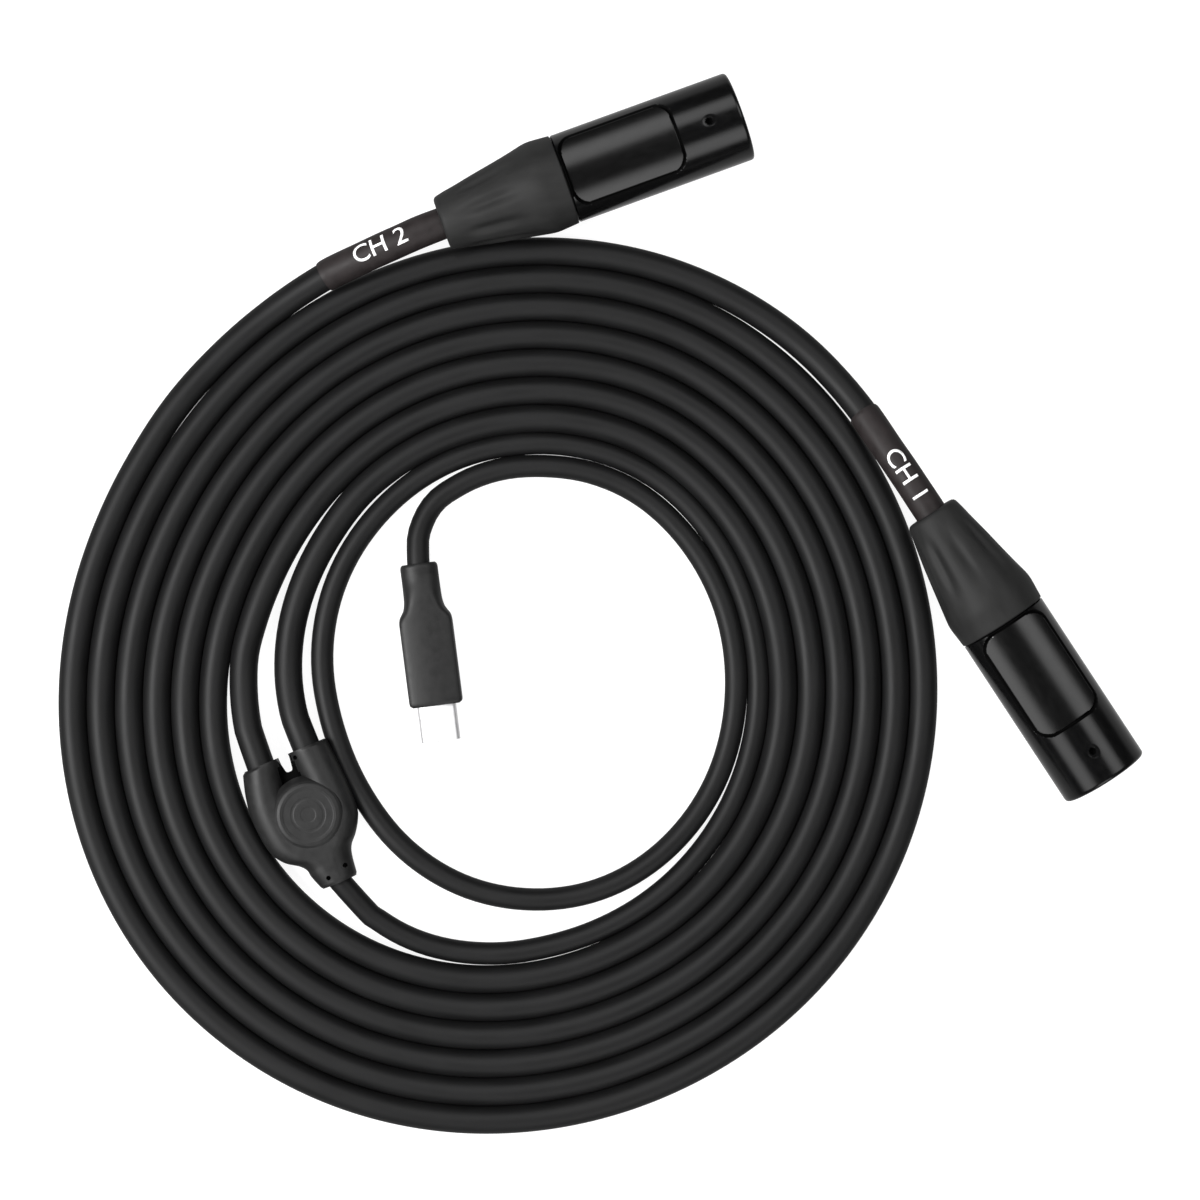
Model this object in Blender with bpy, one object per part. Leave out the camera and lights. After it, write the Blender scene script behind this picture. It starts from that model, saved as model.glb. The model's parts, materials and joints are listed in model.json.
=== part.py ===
"""A USB-C to two XLR audio cable, laid on a surface in one flat coil.

Metres, +Z up. The surface is z = 0 and the origin is the bottom centre of the whole cable's box. A thin USB lead
runs from the plug in the middle to a moulded splitter, and two thicker leads run from the splitter, side by side
and clockwise, to a male XLR connector each. Points along a lead are (angle, radius, height) about the coil's centre.
"""

import math

import bmesh
import bpy
from mathutils import Matrix, Vector

MM = 0.001
GAP = 0.3 * MM
ROUND_SEGMENTS = 32
SMALL_SEGMENTS = 12

# Leads
LEAD_DIAMETER = 5.9 * MM
LEAD_PITCH = 5.94 * MM
USB_LEAD_DIAMETER = 4.6 * MM
POINT_SPACING = 6 * MM
USB_POINT_SPACING = 7.2 * MM

# Height of a lead's middle where it lies on the surface, in millimetres like the routes' rows
LEAD_LIES_AT = 2.98
USB_LEAD_LIES_AT = 2.36

# Coil
COIL_CENTRE = Vector((-21.6 * MM, -18.4 * MM, 0.0))
COIL_START_ANGLE = 160.0
RIGHT_START_RADIUS = 54.36 * MM
LEFT_START_RADIUS = RIGHT_START_RADIUS - LEAD_PITCH
GROWTH_DEGREES = 108.0
STEP_DEGREES = 0.5
COIL_SECTIONS = 80

# Where each lead joins the coil and leaves it, in degrees
RIGHT_JOINS = 165.0
LEFT_JOINS = 124.0
RIGHT_LEAVES = 146.0
LEFT_LEAVES = 66.0

# The coil is pressed a little out of round in two places: (middle, half width) in degrees, and height
BULGES = ((232.0, 72.0, 1.9 * MM), (45.0, 45.0, 0.6 * MM))

# Splitter, in its own frame: +X towards the XLR leads, and its middle under the round badge
SPLITTER_CENTRE = Vector((-61.0 * MM, -44.9 * MM, 4.75 * MM))
SPLITTER_ANGLE = 113.0
SPLITTER_FRONT = 13.9 * MM
SPLITTER_BACK = -15.2 * MM
SPLITTER_OUTLET_OFFSET = 5.2 * MM
SPLITTER_MIDLINE = 0.4 * MM
SPLITTER_NOTCH = (1.8 * MM, 3.2 * MM)
SPLITTER_CORE = (9.0 * MM, 11.0 * MM, 3.6 * MM)
SPLITTER_ENTRY = 4.0 * MM

# USB-C plug, in its own frame: +X from the strain relief's end to the metal tip
USB_START = Vector((-38.4 * MM, 8.3 * MM, 3.3 * MM))
USB_ANGLE = -82.65
USB_COLLAR_LENGTH = 9.4 * MM
USB_HOUSING_LENGTH = 30.2 * MM
USB_COLLAR = (8.0 * MM, 6.2 * MM)
USB_BODY = (11.1 * MM, 6.5 * MM)
USB_TIP = 37.8 * MM
USB_SHELL = (8.25 * MM, 2.4 * MM)
USB_SHELL_WALL = 0.3 * MM
USB_SHELL_BACK = 25.0 * MM
USB_SLOT = (6.5 * MM, 0.75 * MM, 6.6 * MM)
USB_ENTRY = 5.0 * MM
USB_CHAMBER_BACK = 13.0 * MM
USB_CHAMBER = (8.9 * MM, 4.0 * MM)
USB_BOARD = (8.0 * MM, 0.8 * MM)
USB_BOARD_LEVEL = -0.6 * MM
USB_CHIP = (4.0 * MM, 4.0 * MM, 0.9 * MM)

# XLR connector, in its own frame: +X to the open front, and x = 0 at the seam between boot and shell
CONNECTOR_HEIGHT = 10.0 * MM
RIGHT_CONNECTOR = (Vector((-7.4 * MM, 88.7 * MM, CONNECTOR_HEIGHT)), 19.9)
LEFT_CONNECTOR = (Vector((84.3 * MM, -4.0 * MM, CONNECTOR_HEIGHT)), -56.7)
SHELL_LENGTH = 39.0 * MM
SHELL_RADIUS = 9.5 * MM
SHELL_BORE = 8.2 * MM
SHELL_CHAMFER = 0.35 * MM
LATCH_FROM_FRONT = 7.0 * MM
LATCH_WINDOW = (3.0 * MM, 2.6 * MM)
INSERT_BACK = 8.0 * MM
INSERT_FRONT = 24.5 * MM
PIN_RADIUS = 1.2 * MM
PIN_CIRCLE_RADIUS = 4.75 * MM
PIN_ANGLES = (0.0, 180.0, 270.0)
PIN_BACK = 5.5 * MM
PIN_FRONT = 37.5 * MM
WIRE_RADIUS = 0.55 * MM
WIRE_CIRCLE_RADIUS = 1.4 * MM
BOOT_LENGTH = 27.4 * MM
BOOT_TAIL_RADIUS = 5.7 * MM
BOOT_SHOULDER_RADIUS = 9.9 * MM
BOOT_SHOULDER = -4.7 * MM
BOOT_FRONT_RADIUS = 9.75 * MM
BOOT_BORE = 3.8 * MM
BOOT_CHAMBER = 6.9 * MM
COLLAR_FRONT = 4.2 * MM
COLLAR_BACK = -5.7 * MM
COLLAR_BORE = 6.9 * MM
CHUCK_FRONT = 2.5 * MM
CHUCK_BACK = -12.0 * MM
CHUCK_RADIUS = 6.5 * MM
CHUCK_BORE = 3.3 * MM
CHUCK_TAPER = (5.0 * MM, 1.4 * MM)
CHUCK_SLOT = 1.2 * MM
CHUCK_SLOT_FRONT = -1.5 * MM
LEAD_IN_CONNECTOR = 1.0 * MM
SLEEVE_INNER_RADIUS = 3.25 * MM
SLEEVE_WALL = 0.25 * MM
SLEEVE_FROM_END = (24.0 * MM, 53.0 * MM)


# Materials


def material(name, colour, roughness, metallic=0.0):
    made = bpy.data.materials.new(name)
    made.use_nodes = True
    shader = made.node_tree.nodes["Principled BSDF"]
    shader.inputs["Base Color"].default_value = (*colour, 1.0)
    shader.inputs["Roughness"].default_value = roughness
    shader.inputs["Metallic"].default_value = metallic
    return made


# Shapes


def add_object(name, mesh, finish, parent=None):
    made = bpy.data.objects.new(name, mesh)
    bpy.context.collection.objects.link(made)
    made.data.materials.append(finish)
    made.parent = parent
    return made


def add_mesh(name, shape, finish, parent=None, smooth=False):
    """A named object from a bmesh, with its faces turned outwards."""
    bmesh.ops.recalc_face_normals(shape, faces=shape.faces)
    mesh = bpy.data.meshes.new(name)
    shape.to_mesh(mesh)
    shape.free()
    if smooth:
        mesh.shade_smooth()
        mesh.set_sharp_from_angle(angle=math.radians(35))
    return add_object(name, mesh, finish, parent)


def add_frame(name, origin, angle):
    """An empty whose +X points at this angle in the XY plane."""
    frame = bpy.data.objects.new(name, None)
    bpy.context.collection.objects.link(frame)
    frame.location = origin
    frame.rotation_euler = (0.0, 0.0, math.radians(angle))
    return frame


def frame_matrix(origin, angle):
    return Matrix.Translation(origin) @ Matrix.Rotation(math.radians(angle), 4, "Z")


def turned(profile, segments=ROUND_SEGMENTS, hollow=False):
    """A body turned about +X from (x, radius) points. A hollow profile is a closed loop away from the axis."""
    shape = bmesh.new()
    points = [shape.verts.new((x, 0.0, radius)) for x, radius in profile]
    edges = [shape.edges.new(pair) for pair in zip(points, points[1:])]
    if hollow:
        edges.append(shape.edges.new((points[-1], points[0])))
    bmesh.ops.spin(
        shape,
        geom=points + edges,
        cent=(0.0, 0.0, 0.0),
        axis=(1.0, 0.0, 0.0),
        angle=2 * math.pi,
        steps=segments,
        use_merge=True,
    )
    bmesh.ops.remove_doubles(shape, verts=shape.verts, dist=0.001 * MM)
    return shape


def lofted(sections, closed=False):
    """A skin over rings of points, with an end cap on each end unless the rings run round in a circle."""
    shape = bmesh.new()
    rings = [[shape.verts.new(point) for point in section] for section in sections]
    pairs = list(zip(rings, rings[1:]))
    if closed:
        pairs.append((rings[-1], rings[0]))
    else:
        shape.faces.new(rings[0])
        shape.faces.new(rings[-1])
    for ring, following in pairs:
        for i in range(len(ring)):
            j = (i + 1) % len(ring)
            shape.faces.new((ring[i], ring[j], following[j], following[i]))
    return shape


def rounded_ring(x, width, height, squareness=2.0, count=20, middle=0.0):
    """Points round a superellipse across +X. A squareness of 2 is an ellipse and a higher one is boxier."""
    points = []
    for i in range(count):
        turn = 2 * math.pi * (i + 0.5) / count
        across = math.copysign(abs(math.cos(turn)) ** (2 / squareness), math.cos(turn))
        up = math.copysign(abs(math.sin(turn)) ** (2 / squareness), math.sin(turn))
        points.append((x, middle + across * width / 2, up * height / 2))
    return points


def oval_ring(x, width, height, arc_steps=4):
    """Points round a slot shape across +X: two flat sides and two round ends."""
    points = []
    for side in (1, -1):
        for i in range(arc_steps + 1):
            turn = math.pi * i / arc_steps - math.pi / 2
            across = side * (width - height) / 2 + side * math.cos(turn) * height / 2
            points.append((x, across, side * math.sin(turn) * height / 2))
    return points


def block(start, end, width, height, middle=(0.0, 0.0)):
    """A box along +X."""
    shape = bmesh.new()
    size = Matrix.Diagonal((end - start, width, height, 1.0))
    place = Matrix.Translation(((start + end) / 2, middle[0], middle[1]))
    bmesh.ops.create_cube(shape, size=1.0, matrix=place @ size)
    return shape


def rod(start, end, radius, middle=(0.0, 0.0), segments=SMALL_SEGMENTS):
    """A round bar along +X."""
    shape = turned(((start, 0.0), (start, radius), (end, radius), (end, 0.0)), segments)
    bmesh.ops.translate(shape, vec=(0.0, *middle), verts=shape.verts)
    return shape


def joined(shapes):
    """Separate closed shapes in one bmesh, for use as one cutter."""
    mesh = bpy.data.meshes.new("joining")
    whole = bmesh.new()
    for shape in shapes:
        bmesh.ops.recalc_face_normals(shape, faces=shape.faces)
        shape.to_mesh(mesh)
        shape.free()
        whole.from_mesh(mesh)
    bpy.data.meshes.remove(mesh)
    return whole


def cut(target, shape):
    """Takes a shape, given in the target's own frame, out of it."""
    cutter = add_mesh(target.name + "_cutter", shape, target.data.materials[0], target.parent)
    cutter.hide_render = True
    cutter.display_type = "WIRE"
    modifier = target.modifiers.new("cut", "BOOLEAN")
    modifier.operation = "DIFFERENCE"
    modifier.solver = "EXACT"
    modifier.object = cutter


# Routes of the leads


def on_coil(angle, radius, height):
    turn = math.radians(angle)
    return COIL_CENTRE + Vector((radius * math.cos(turn), radius * math.sin(turn), height))


def smooth_step(x):
    x = min(max(x, 0.0), 1.0)
    return x * x * (3 - 2 * x)


def bulge(angle):
    """How far the coil is out of round at this angle."""
    total = 0.0
    for middle, half_width, height in BULGES:
        away = abs((angle - middle + 180) % 360 - 180)
        if away < half_width:
            total += height * (1 + math.cos(math.pi * away / half_width)) / 2
    return total


def strand_radius(start_radius, swept):
    """A lead's radius after this many degrees clockwise. It steps out by two pitches early in each turn."""
    turns = math.floor(swept / 360)
    share = smooth_step((swept - 360 * turns) / GROWTH_DEGREES)
    return start_radius + 2 * LEAD_PITCH * (turns + share) + bulge(COIL_START_ANGLE - swept)


def smooth_curve(points, steps):
    """A finer list of points, on a smooth curve through these ones."""
    ends = [2 * points[0] - points[1], *points, 2 * points[-1] - points[-2]]
    fine = []
    for a, b, c, d in zip(ends, ends[1:], ends[2:], ends[3:]):
        for step in range(steps):
            t = step / steps
            bend = (2 * a - 5 * b + 4 * c - d) * t * t + (3 * b - 3 * c + d - a) * t**3
            fine.append(b + ((c - a) * t + bend) / 2)
    fine.append(points[-1])
    return fine


def round_the_coil(loops):
    """Points in space from (angle, radius, height) rows in degrees and millimetres, smooth between the rows."""
    fine = smooth_curve([Vector(row) for row in loops], 4)
    return [on_coil(row.x, row.y * MM, row.z * MM) for row in fine]


def smooth_route(points, spacing):
    """Evenly spaced points on a smooth curve through a route's own points."""
    fine = smooth_curve(points, 20)
    lengths = [0.0]
    for a, b in zip(fine, fine[1:]):
        lengths.append(lengths[-1] + (b - a).length)
    count = max(2, round(lengths[-1] / spacing))
    even, k = [], 0
    for i in range(count + 1):
        along = lengths[-1] * i / count
        while k < len(fine) - 2 and lengths[k + 1] < along:
            k += 1
        share = (along - lengths[k]) / (lengths[k + 1] - lengths[k])
        even.append(fine[k].lerp(fine[k + 1], min(share, 1.0)))
    return even


def add_tube(name, points, radius, finish):
    """A lead's round tube along these points, with flat ends."""
    curve = bpy.data.curves.new(name, "CURVE")
    curve.dimensions = "3D"
    curve.bevel_depth = radius
    curve.bevel_resolution = 2
    curve.use_fill_caps = True
    spline = curve.splines.new("POLY")
    spline.points.add(len(points) - 1)
    for point, place in zip(spline.points, points):
        point.co = (*place, 1.0)
    return add_object(name, curve, finish)


def usb_route():
    """From inside the plug's strain relief, twice round inside the coil, into the splitter's single outlet."""
    plug = frame_matrix(USB_START, USB_ANGLE)
    splitter = frame_matrix(SPLITTER_CENTRE, SPLITTER_ANGLE)
    loops = (
        (117.5, 36.6, 2.6),
        (112.2, 40.2, USB_LEAD_LIES_AT),
        (107.5, 42.5, USB_LEAD_LIES_AT),
        (102.0, 43.9, USB_LEAD_LIES_AT),
        (96.0, 44.9, USB_LEAD_LIES_AT),
        (88.0, 46.1, USB_LEAD_LIES_AT),
        (78.0, 47.7, USB_LEAD_LIES_AT),
        (65.0, 49.5, USB_LEAD_LIES_AT),
        (40.0, 50.3, USB_LEAD_LIES_AT),
        (0.0, 49.9, USB_LEAD_LIES_AT),
        (-30.0, 49.4, USB_LEAD_LIES_AT),
        (-60.0, 47.4, USB_LEAD_LIES_AT),
        (-90.0, 43.4, USB_LEAD_LIES_AT),
        (-118.0, 39.0, USB_LEAD_LIES_AT),
        (-138.0, 36.2, USB_LEAD_LIES_AT),
        (-155.0, 35.1, USB_LEAD_LIES_AT),
        (-170.0, 35.5, USB_LEAD_LIES_AT),
        (-185.0, 36.9, USB_LEAD_LIES_AT),
        (-205.0, 39.7, USB_LEAD_LIES_AT),
        (-230.0, 43.5, USB_LEAD_LIES_AT),
        (-255.0, 48.1, USB_LEAD_LIES_AT),
        (-280.0, 52.7, USB_LEAD_LIES_AT),
        (-298.0, 54.6, USB_LEAD_LIES_AT),
        (-320.0, 55.3, USB_LEAD_LIES_AT),
        (-350.0, 54.8, USB_LEAD_LIES_AT),
        (-410.0, 54.7, USB_LEAD_LIES_AT),
        (-435.0, 54.9, USB_LEAD_LIES_AT),
        (-450.0, 55.5, USB_LEAD_LIES_AT),
        (-462.0, 55.9, USB_LEAD_LIES_AT),
        (-471.0, 55.6, 2.5),
        (-480.0, 54.4, 3.3),
    )
    start = [plug @ Vector((x, 0.0, 0.0)) for x in (USB_ENTRY, 0.0)]
    end = [splitter @ Vector((SPLITTER_BACK + x, 0.2 * MM, 0.0)) for x in (1.6 * MM, SPLITTER_ENTRY)]
    return start + round_the_coil(loops) + end


def root_route(side, loops):
    """From inside one of the splitter's two outlets to where the lead joins the coil."""
    splitter = frame_matrix(SPLITTER_CENTRE, SPLITTER_ANGLE)
    across = SPLITTER_MIDLINE + side * SPLITTER_OUTLET_OFFSET
    start = [splitter @ Vector((x, across, 0.0)) for x in (SPLITTER_FRONT - SPLITTER_ENTRY, SPLITTER_FRONT)]
    return start + round_the_coil(loops)


def end_route(loops, connector):
    """From where a lead leaves the coil, up to the connector's height and into it."""
    place = frame_matrix(*connector)
    levelling = ((-44.0, -1.7), (-37.0, -0.3), (-30.0, 0.0), (-15.0, 0.0))
    into = [place @ Vector((x * MM, 0.0, up * MM)) for x, up in levelling]
    return round_the_coil(loops) + into + [place @ Vector((LEAD_IN_CONNECTOR, 0.0, 0.0))]


def right_root_loops():
    return ((189.0, 53.3, 4.3), (180.0, 53.7, 3.4), (172.0, 54.0, 3.0), (165.9, 54.2, LEAD_LIES_AT))


def left_root_loops():
    return (
        (188.0, 43.2, 4.2),
        (178.0, 44.2, 3.3),
        (165.0, 45.4, LEAD_LIES_AT),
        (150.0, 46.9, LEAD_LIES_AT),
        (137.0, 48.6, LEAD_LIES_AT),
        (125.7, 50.9, LEAD_LIES_AT),
    )


def right_end_loops():
    return (
        (145.75, 90.8, LEAD_LIES_AT),
        (138.0, 91.6, LEAD_LIES_AT),
        (130.0, 92.7, 3.0),
        (122.5, 93.9, 3.4),
        (116.5, 94.9, 4.6),
        (111.5, 95.6, 6.1),
    )


def left_end_loops():
    return (
        (65.75, 96.0, LEAD_LIES_AT),
        (57.0, 96.7, LEAD_LIES_AT),
        (49.0, 97.0, 3.2),
        (42.0, 96.9, 4.4),
        (37.0, 96.7, 5.9),
    )


# The coil


def coil_edges(angle):
    """Inner and outer edge of the coil at an angle from 0 to 360, by which leads lie in it there."""
    to_here = (COIL_START_ANGLE - angle) % 360
    if LEFT_JOINS < angle <= RIGHT_JOINS:
        inner = strand_radius(RIGHT_START_RADIUS, COIL_START_ANGLE - angle)
    else:
        inner = strand_radius(LEFT_START_RADIUS, to_here)
    if LEFT_LEAVES < angle <= RIGHT_LEAVES:
        outer = strand_radius(LEFT_START_RADIUS, to_here + 3 * 360)
    elif RIGHT_LEAVES < angle <= COIL_START_ANGLE:
        outer = strand_radius(RIGHT_START_RADIUS, to_here + 3 * 360)
    else:
        outer = strand_radius(RIGHT_START_RADIUS, to_here + 2 * 360)
    return inner - LEAD_DIAMETER / 2, outer + LEAD_DIAMETER / 2


def coil_angles():
    """Section angles, with a close pair at each place where a lead joins or leaves."""
    steps = [RIGHT_JOINS, LEFT_JOINS, RIGHT_LEAVES, LEFT_LEAVES]
    angles = [360 * i / COIL_SECTIONS for i in range(COIL_SECTIONS)]
    angles = [a for a in angles if all(abs(a - s - STEP_DEGREES / 2) > 1.2 for s in steps)]
    return sorted(angles + steps + [s + STEP_DEGREES for s in steps])


def coil_section(angle):
    """A flat band with half-round edges, across the coil at this angle."""
    inner, outer = coil_edges(angle)
    radius = LEAD_DIAMETER / 2
    section = []
    for middle, first in ((inner + radius, 90.0), (outer - radius, 270.0)):
        for i in range(5):
            turn = math.radians(first + 45.0 * i)
            section.append(on_coil(angle, middle + radius * math.cos(turn), radius + radius * math.sin(turn)))
    return section


def make_leads(jacket):
    add_mesh("lead_coil", lofted([coil_section(a) for a in coil_angles()], closed=True), jacket)
    add_tube("usb_lead", smooth_route(usb_route(), USB_POINT_SPACING), USB_LEAD_DIAMETER / 2, jacket)
    for name, side, loops in (("right", 1, right_root_loops()), ("left", -1, left_root_loops())):
        route = smooth_route(root_route(side, loops), POINT_SPACING)
        add_tube(name + "_lead_root", route, LEAD_DIAMETER / 2, jacket)


# Splitter


def make_splitter(rubber, board):
    """A moulded body, widest at the badge, with a notch between its two outlets and a circuit core inside."""
    frame = add_frame("splitter", SPLITTER_CENTRE, SPLITTER_ANGLE)
    outline = (
        (SPLITTER_BACK, 7.8 * MM, 7.2 * MM),
        (-9.9 * MM, 10.6 * MM, 8.2 * MM),
        (-8.6 * MM, 13.2 * MM, 8.7 * MM),
        (-6.5 * MM, 16.6 * MM, 9.1 * MM),
        (-3.5 * MM, 19.4 * MM, 9.4 * MM),
        (0.5 * MM, 20.4 * MM, 9.5 * MM),
        (4.5 * MM, 20.2 * MM, 9.4 * MM),
        (9.0 * MM, 19.4 * MM, 9.1 * MM),
        (SPLITTER_FRONT, 18.6 * MM, 8.7 * MM),
    )
    sections = [rounded_ring(x, w, h, 2.5, 24, SPLITTER_MIDLINE) for x, w, h in outline]
    body = add_mesh("splitter_body", lofted(sections), rubber, frame, smooth=True)
    core_x, core_y, core_z = SPLITTER_CORE
    entry_radius = LEAD_DIAMETER / 2 + GAP
    notch_width, notch_depth = SPLITTER_NOTCH
    entries = [
        rod(0.0, SPLITTER_FRONT + MM, entry_radius, (SPLITTER_MIDLINE + side * SPLITTER_OUTLET_OFFSET, 0.0), 16)
        for side in (1, -1)
    ]
    back_entry = rod(SPLITTER_BACK - MM, 0.0, USB_LEAD_DIAMETER / 2 + 3 * GAP, segments=16)
    chamber = block(-core_x / 2 - GAP, core_x / 2 + GAP, core_y + 2 * GAP, core_z + 2 * GAP)
    notch = block(SPLITTER_FRONT - notch_depth, SPLITTER_FRONT + MM, notch_width, 12 * MM, (SPLITTER_MIDLINE, 0.0))
    for shape in (chamber, *entries, back_entry, notch):
        cut(body, shape)
    add_mesh("splitter_core", block(-core_x / 2, core_x / 2, core_y, core_z), board, frame)


# USB-C plug


def make_usb_plug(rubber, metal, plastic, board, chip):
    frame = add_frame("usb_plug", USB_START, USB_ANGLE)
    collar_w, collar_h = USB_COLLAR
    body_w, body_h = USB_BODY
    outline = (
        (0.0, collar_w * 0.97, collar_h, 2.4),
        (USB_COLLAR_LENGTH, collar_w * 1.06, collar_h, 2.6),
        (USB_COLLAR_LENGTH + 1.3 * MM, collar_w * 1.2, body_h, 3.0),
        (USB_COLLAR_LENGTH + 2.8 * MM, body_w, body_h, 3.6),
        (USB_HOUSING_LENGTH - 0.6 * MM, body_w, body_h, 3.6),
        (USB_HOUSING_LENGTH, body_w - MM, body_h - MM, 3.6),
    )
    housing = add_mesh("usb_housing", lofted([rounded_ring(*row) for row in outline]), rubber, frame, smooth=True)
    shell_w, shell_h = USB_SHELL
    cut(housing, rod(-MM, USB_CHAMBER_BACK + MM, USB_LEAD_DIAMETER / 2 + GAP, segments=16))
    cut(housing, block(USB_CHAMBER_BACK, USB_HOUSING_LENGTH - 2 * MM, *USB_CHAMBER))
    mouth = [oval_ring(x, shell_w + 2 * GAP, shell_h + 2 * GAP) for x in (USB_SHELL_BACK, USB_TIP)]
    cut(housing, lofted(mouth))

    shell_ends = (USB_SHELL_BACK, USB_TIP)
    shell = add_mesh("usb_shell", lofted([oval_ring(x, shell_w, shell_h) for x in shell_ends]), metal, frame)
    inner_w = shell_w - 2 * USB_SHELL_WALL
    inner_h = shell_h - 2 * USB_SHELL_WALL
    bore_ends = (USB_SHELL_BACK - MM, USB_TIP + MM)
    cut(shell, lofted([oval_ring(x, inner_w, inner_h) for x in bore_ends]))

    lining_ends = (USB_SHELL_BACK + 0.5 * MM, USB_TIP - 0.4 * MM)
    lining = [oval_ring(x, inner_w - 0.2 * MM, inner_h - 0.2 * MM) for x in lining_ends]
    insulator = add_mesh("usb_insulator", lofted(lining), plastic, frame)
    slot_width, slot_height, slot_depth = USB_SLOT
    cut(insulator, block(USB_TIP - slot_depth, USB_TIP + MM, slot_width, slot_height))

    board_ends = (USB_CHAMBER_BACK + GAP, USB_SHELL_BACK - GAP)
    add_mesh("usb_board", block(*board_ends, *USB_BOARD, (0.0, USB_BOARD_LEVEL)), board, frame)
    chip_length, chip_width, chip_height = USB_CHIP
    chip_start = (sum(board_ends) - chip_length) / 2
    chip_level = USB_BOARD_LEVEL + (USB_BOARD[1] + chip_height) / 2 + GAP
    chip_block = block(chip_start, chip_start + chip_length, chip_width, chip_height, (0.0, chip_level))
    add_mesh("usb_chip", chip_block, chip, frame)


# XLR connectors


def pin_places():
    """(across, up) of pins 1, 2 and 3 on their circle, seen from the front with the latch at the top."""
    for angle in PIN_ANGLES:
        turn = math.radians(angle)
        yield PIN_CIRCLE_RADIUS * math.cos(turn), PIN_CIRCLE_RADIUS * math.sin(turn)


def make_shell(side, frame, finish):
    """The metal tube, with a small window that the mating connector's latch springs into."""
    profile = (
        (0.0, SHELL_BORE),
        (SHELL_LENGTH, SHELL_BORE),
        (SHELL_LENGTH, SHELL_RADIUS - SHELL_CHAMFER),
        (SHELL_LENGTH - SHELL_CHAMFER, SHELL_RADIUS),
        (0.0, SHELL_RADIUS),
    )
    shell = add_mesh(side + "_shell", turned(profile, hollow=True), finish, frame, smooth=True)
    length, width = LATCH_WINDOW
    middle = SHELL_LENGTH - LATCH_FROM_FRONT
    window = block(middle - length / 2, middle + length / 2, width, 4 * MM, (0.0, SHELL_RADIUS))
    cut(shell, window)


def make_insert(side, frame, plastic, metal):
    """The plastic disc that holds the three pins, and the pins."""
    profile = (
        (INSERT_BACK, 0.0),
        (INSERT_BACK, SHELL_BORE - GAP),
        (INSERT_FRONT, SHELL_BORE - GAP),
        (INSERT_FRONT, 0.0),
    )
    insert = add_mesh(side + "_insert", turned(profile), plastic, frame, smooth=True)
    holes = [rod(INSERT_BACK - MM, INSERT_FRONT + MM, PIN_RADIUS + GAP, place) for place in pin_places()]
    cut(insert, joined(holes))
    for number, place in enumerate(pin_places(), start=1):
        pin = turned(
            (
                (PIN_BACK, 0.0),
                (PIN_BACK, PIN_RADIUS * 0.8),
                (PIN_BACK + 2.5 * MM, PIN_RADIUS * 0.8),
                (PIN_BACK + 2.7 * MM, PIN_RADIUS),
                (PIN_FRONT - PIN_RADIUS * 0.6, PIN_RADIUS),
                (PIN_FRONT - PIN_RADIUS * 0.15, PIN_RADIUS * 0.6),
                (PIN_FRONT, 0.0),
            ),
            SMALL_SEGMENTS,
        )
        bmesh.ops.translate(pin, vec=(0.0, *place), verts=pin.verts)
        add_mesh(f"{side}_pin_{number}", pin, metal, frame, smooth=True)


def make_wires(side, connector, finish):
    """Three cores, each from the lead's cut end to the back of its pin."""
    place = frame_matrix(*connector)
    for number, (across, up) in enumerate(pin_places(), start=1):
        direction = Vector((0.0, across, up)).normalized()
        stations = (
            (LEAD_IN_CONNECTOR + GAP, WIRE_CIRCLE_RADIUS),
            (CHUCK_FRONT, WIRE_CIRCLE_RADIUS + 0.3 * MM),
            (PIN_BACK - 1.6 * MM, PIN_CIRCLE_RADIUS - 1.4 * MM),
            (PIN_BACK - 0.7 * MM, PIN_CIRCLE_RADIUS - 0.2 * MM),
            (PIN_BACK - GAP, PIN_CIRCLE_RADIUS),
        )
        points = [place @ (Vector((x, 0.0, 0.0)) + direction * radius) for x, radius in stations]
        add_tube(f"{side}_wire_{number}", points, WIRE_RADIUS, finish)


def make_chuck(side, frame, finish):
    """The split collet that the boot's collar squeezes on the lead."""
    taper_length, taper_depth = CHUCK_TAPER
    profile = (
        (CHUCK_BACK, CHUCK_BORE),
        (CHUCK_FRONT, CHUCK_BORE),
        (CHUCK_FRONT, CHUCK_RADIUS),
        (CHUCK_BACK + taper_length, CHUCK_RADIUS),
        (CHUCK_BACK, CHUCK_RADIUS - taper_depth),
    )
    chuck = add_mesh(side + "_chuck", turned(profile, 24, hollow=True), finish, frame, smooth=True)
    cut(chuck, block(CHUCK_BACK - MM, CHUCK_SLOT_FRONT, 3 * CHUCK_RADIUS, CHUCK_SLOT))


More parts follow.
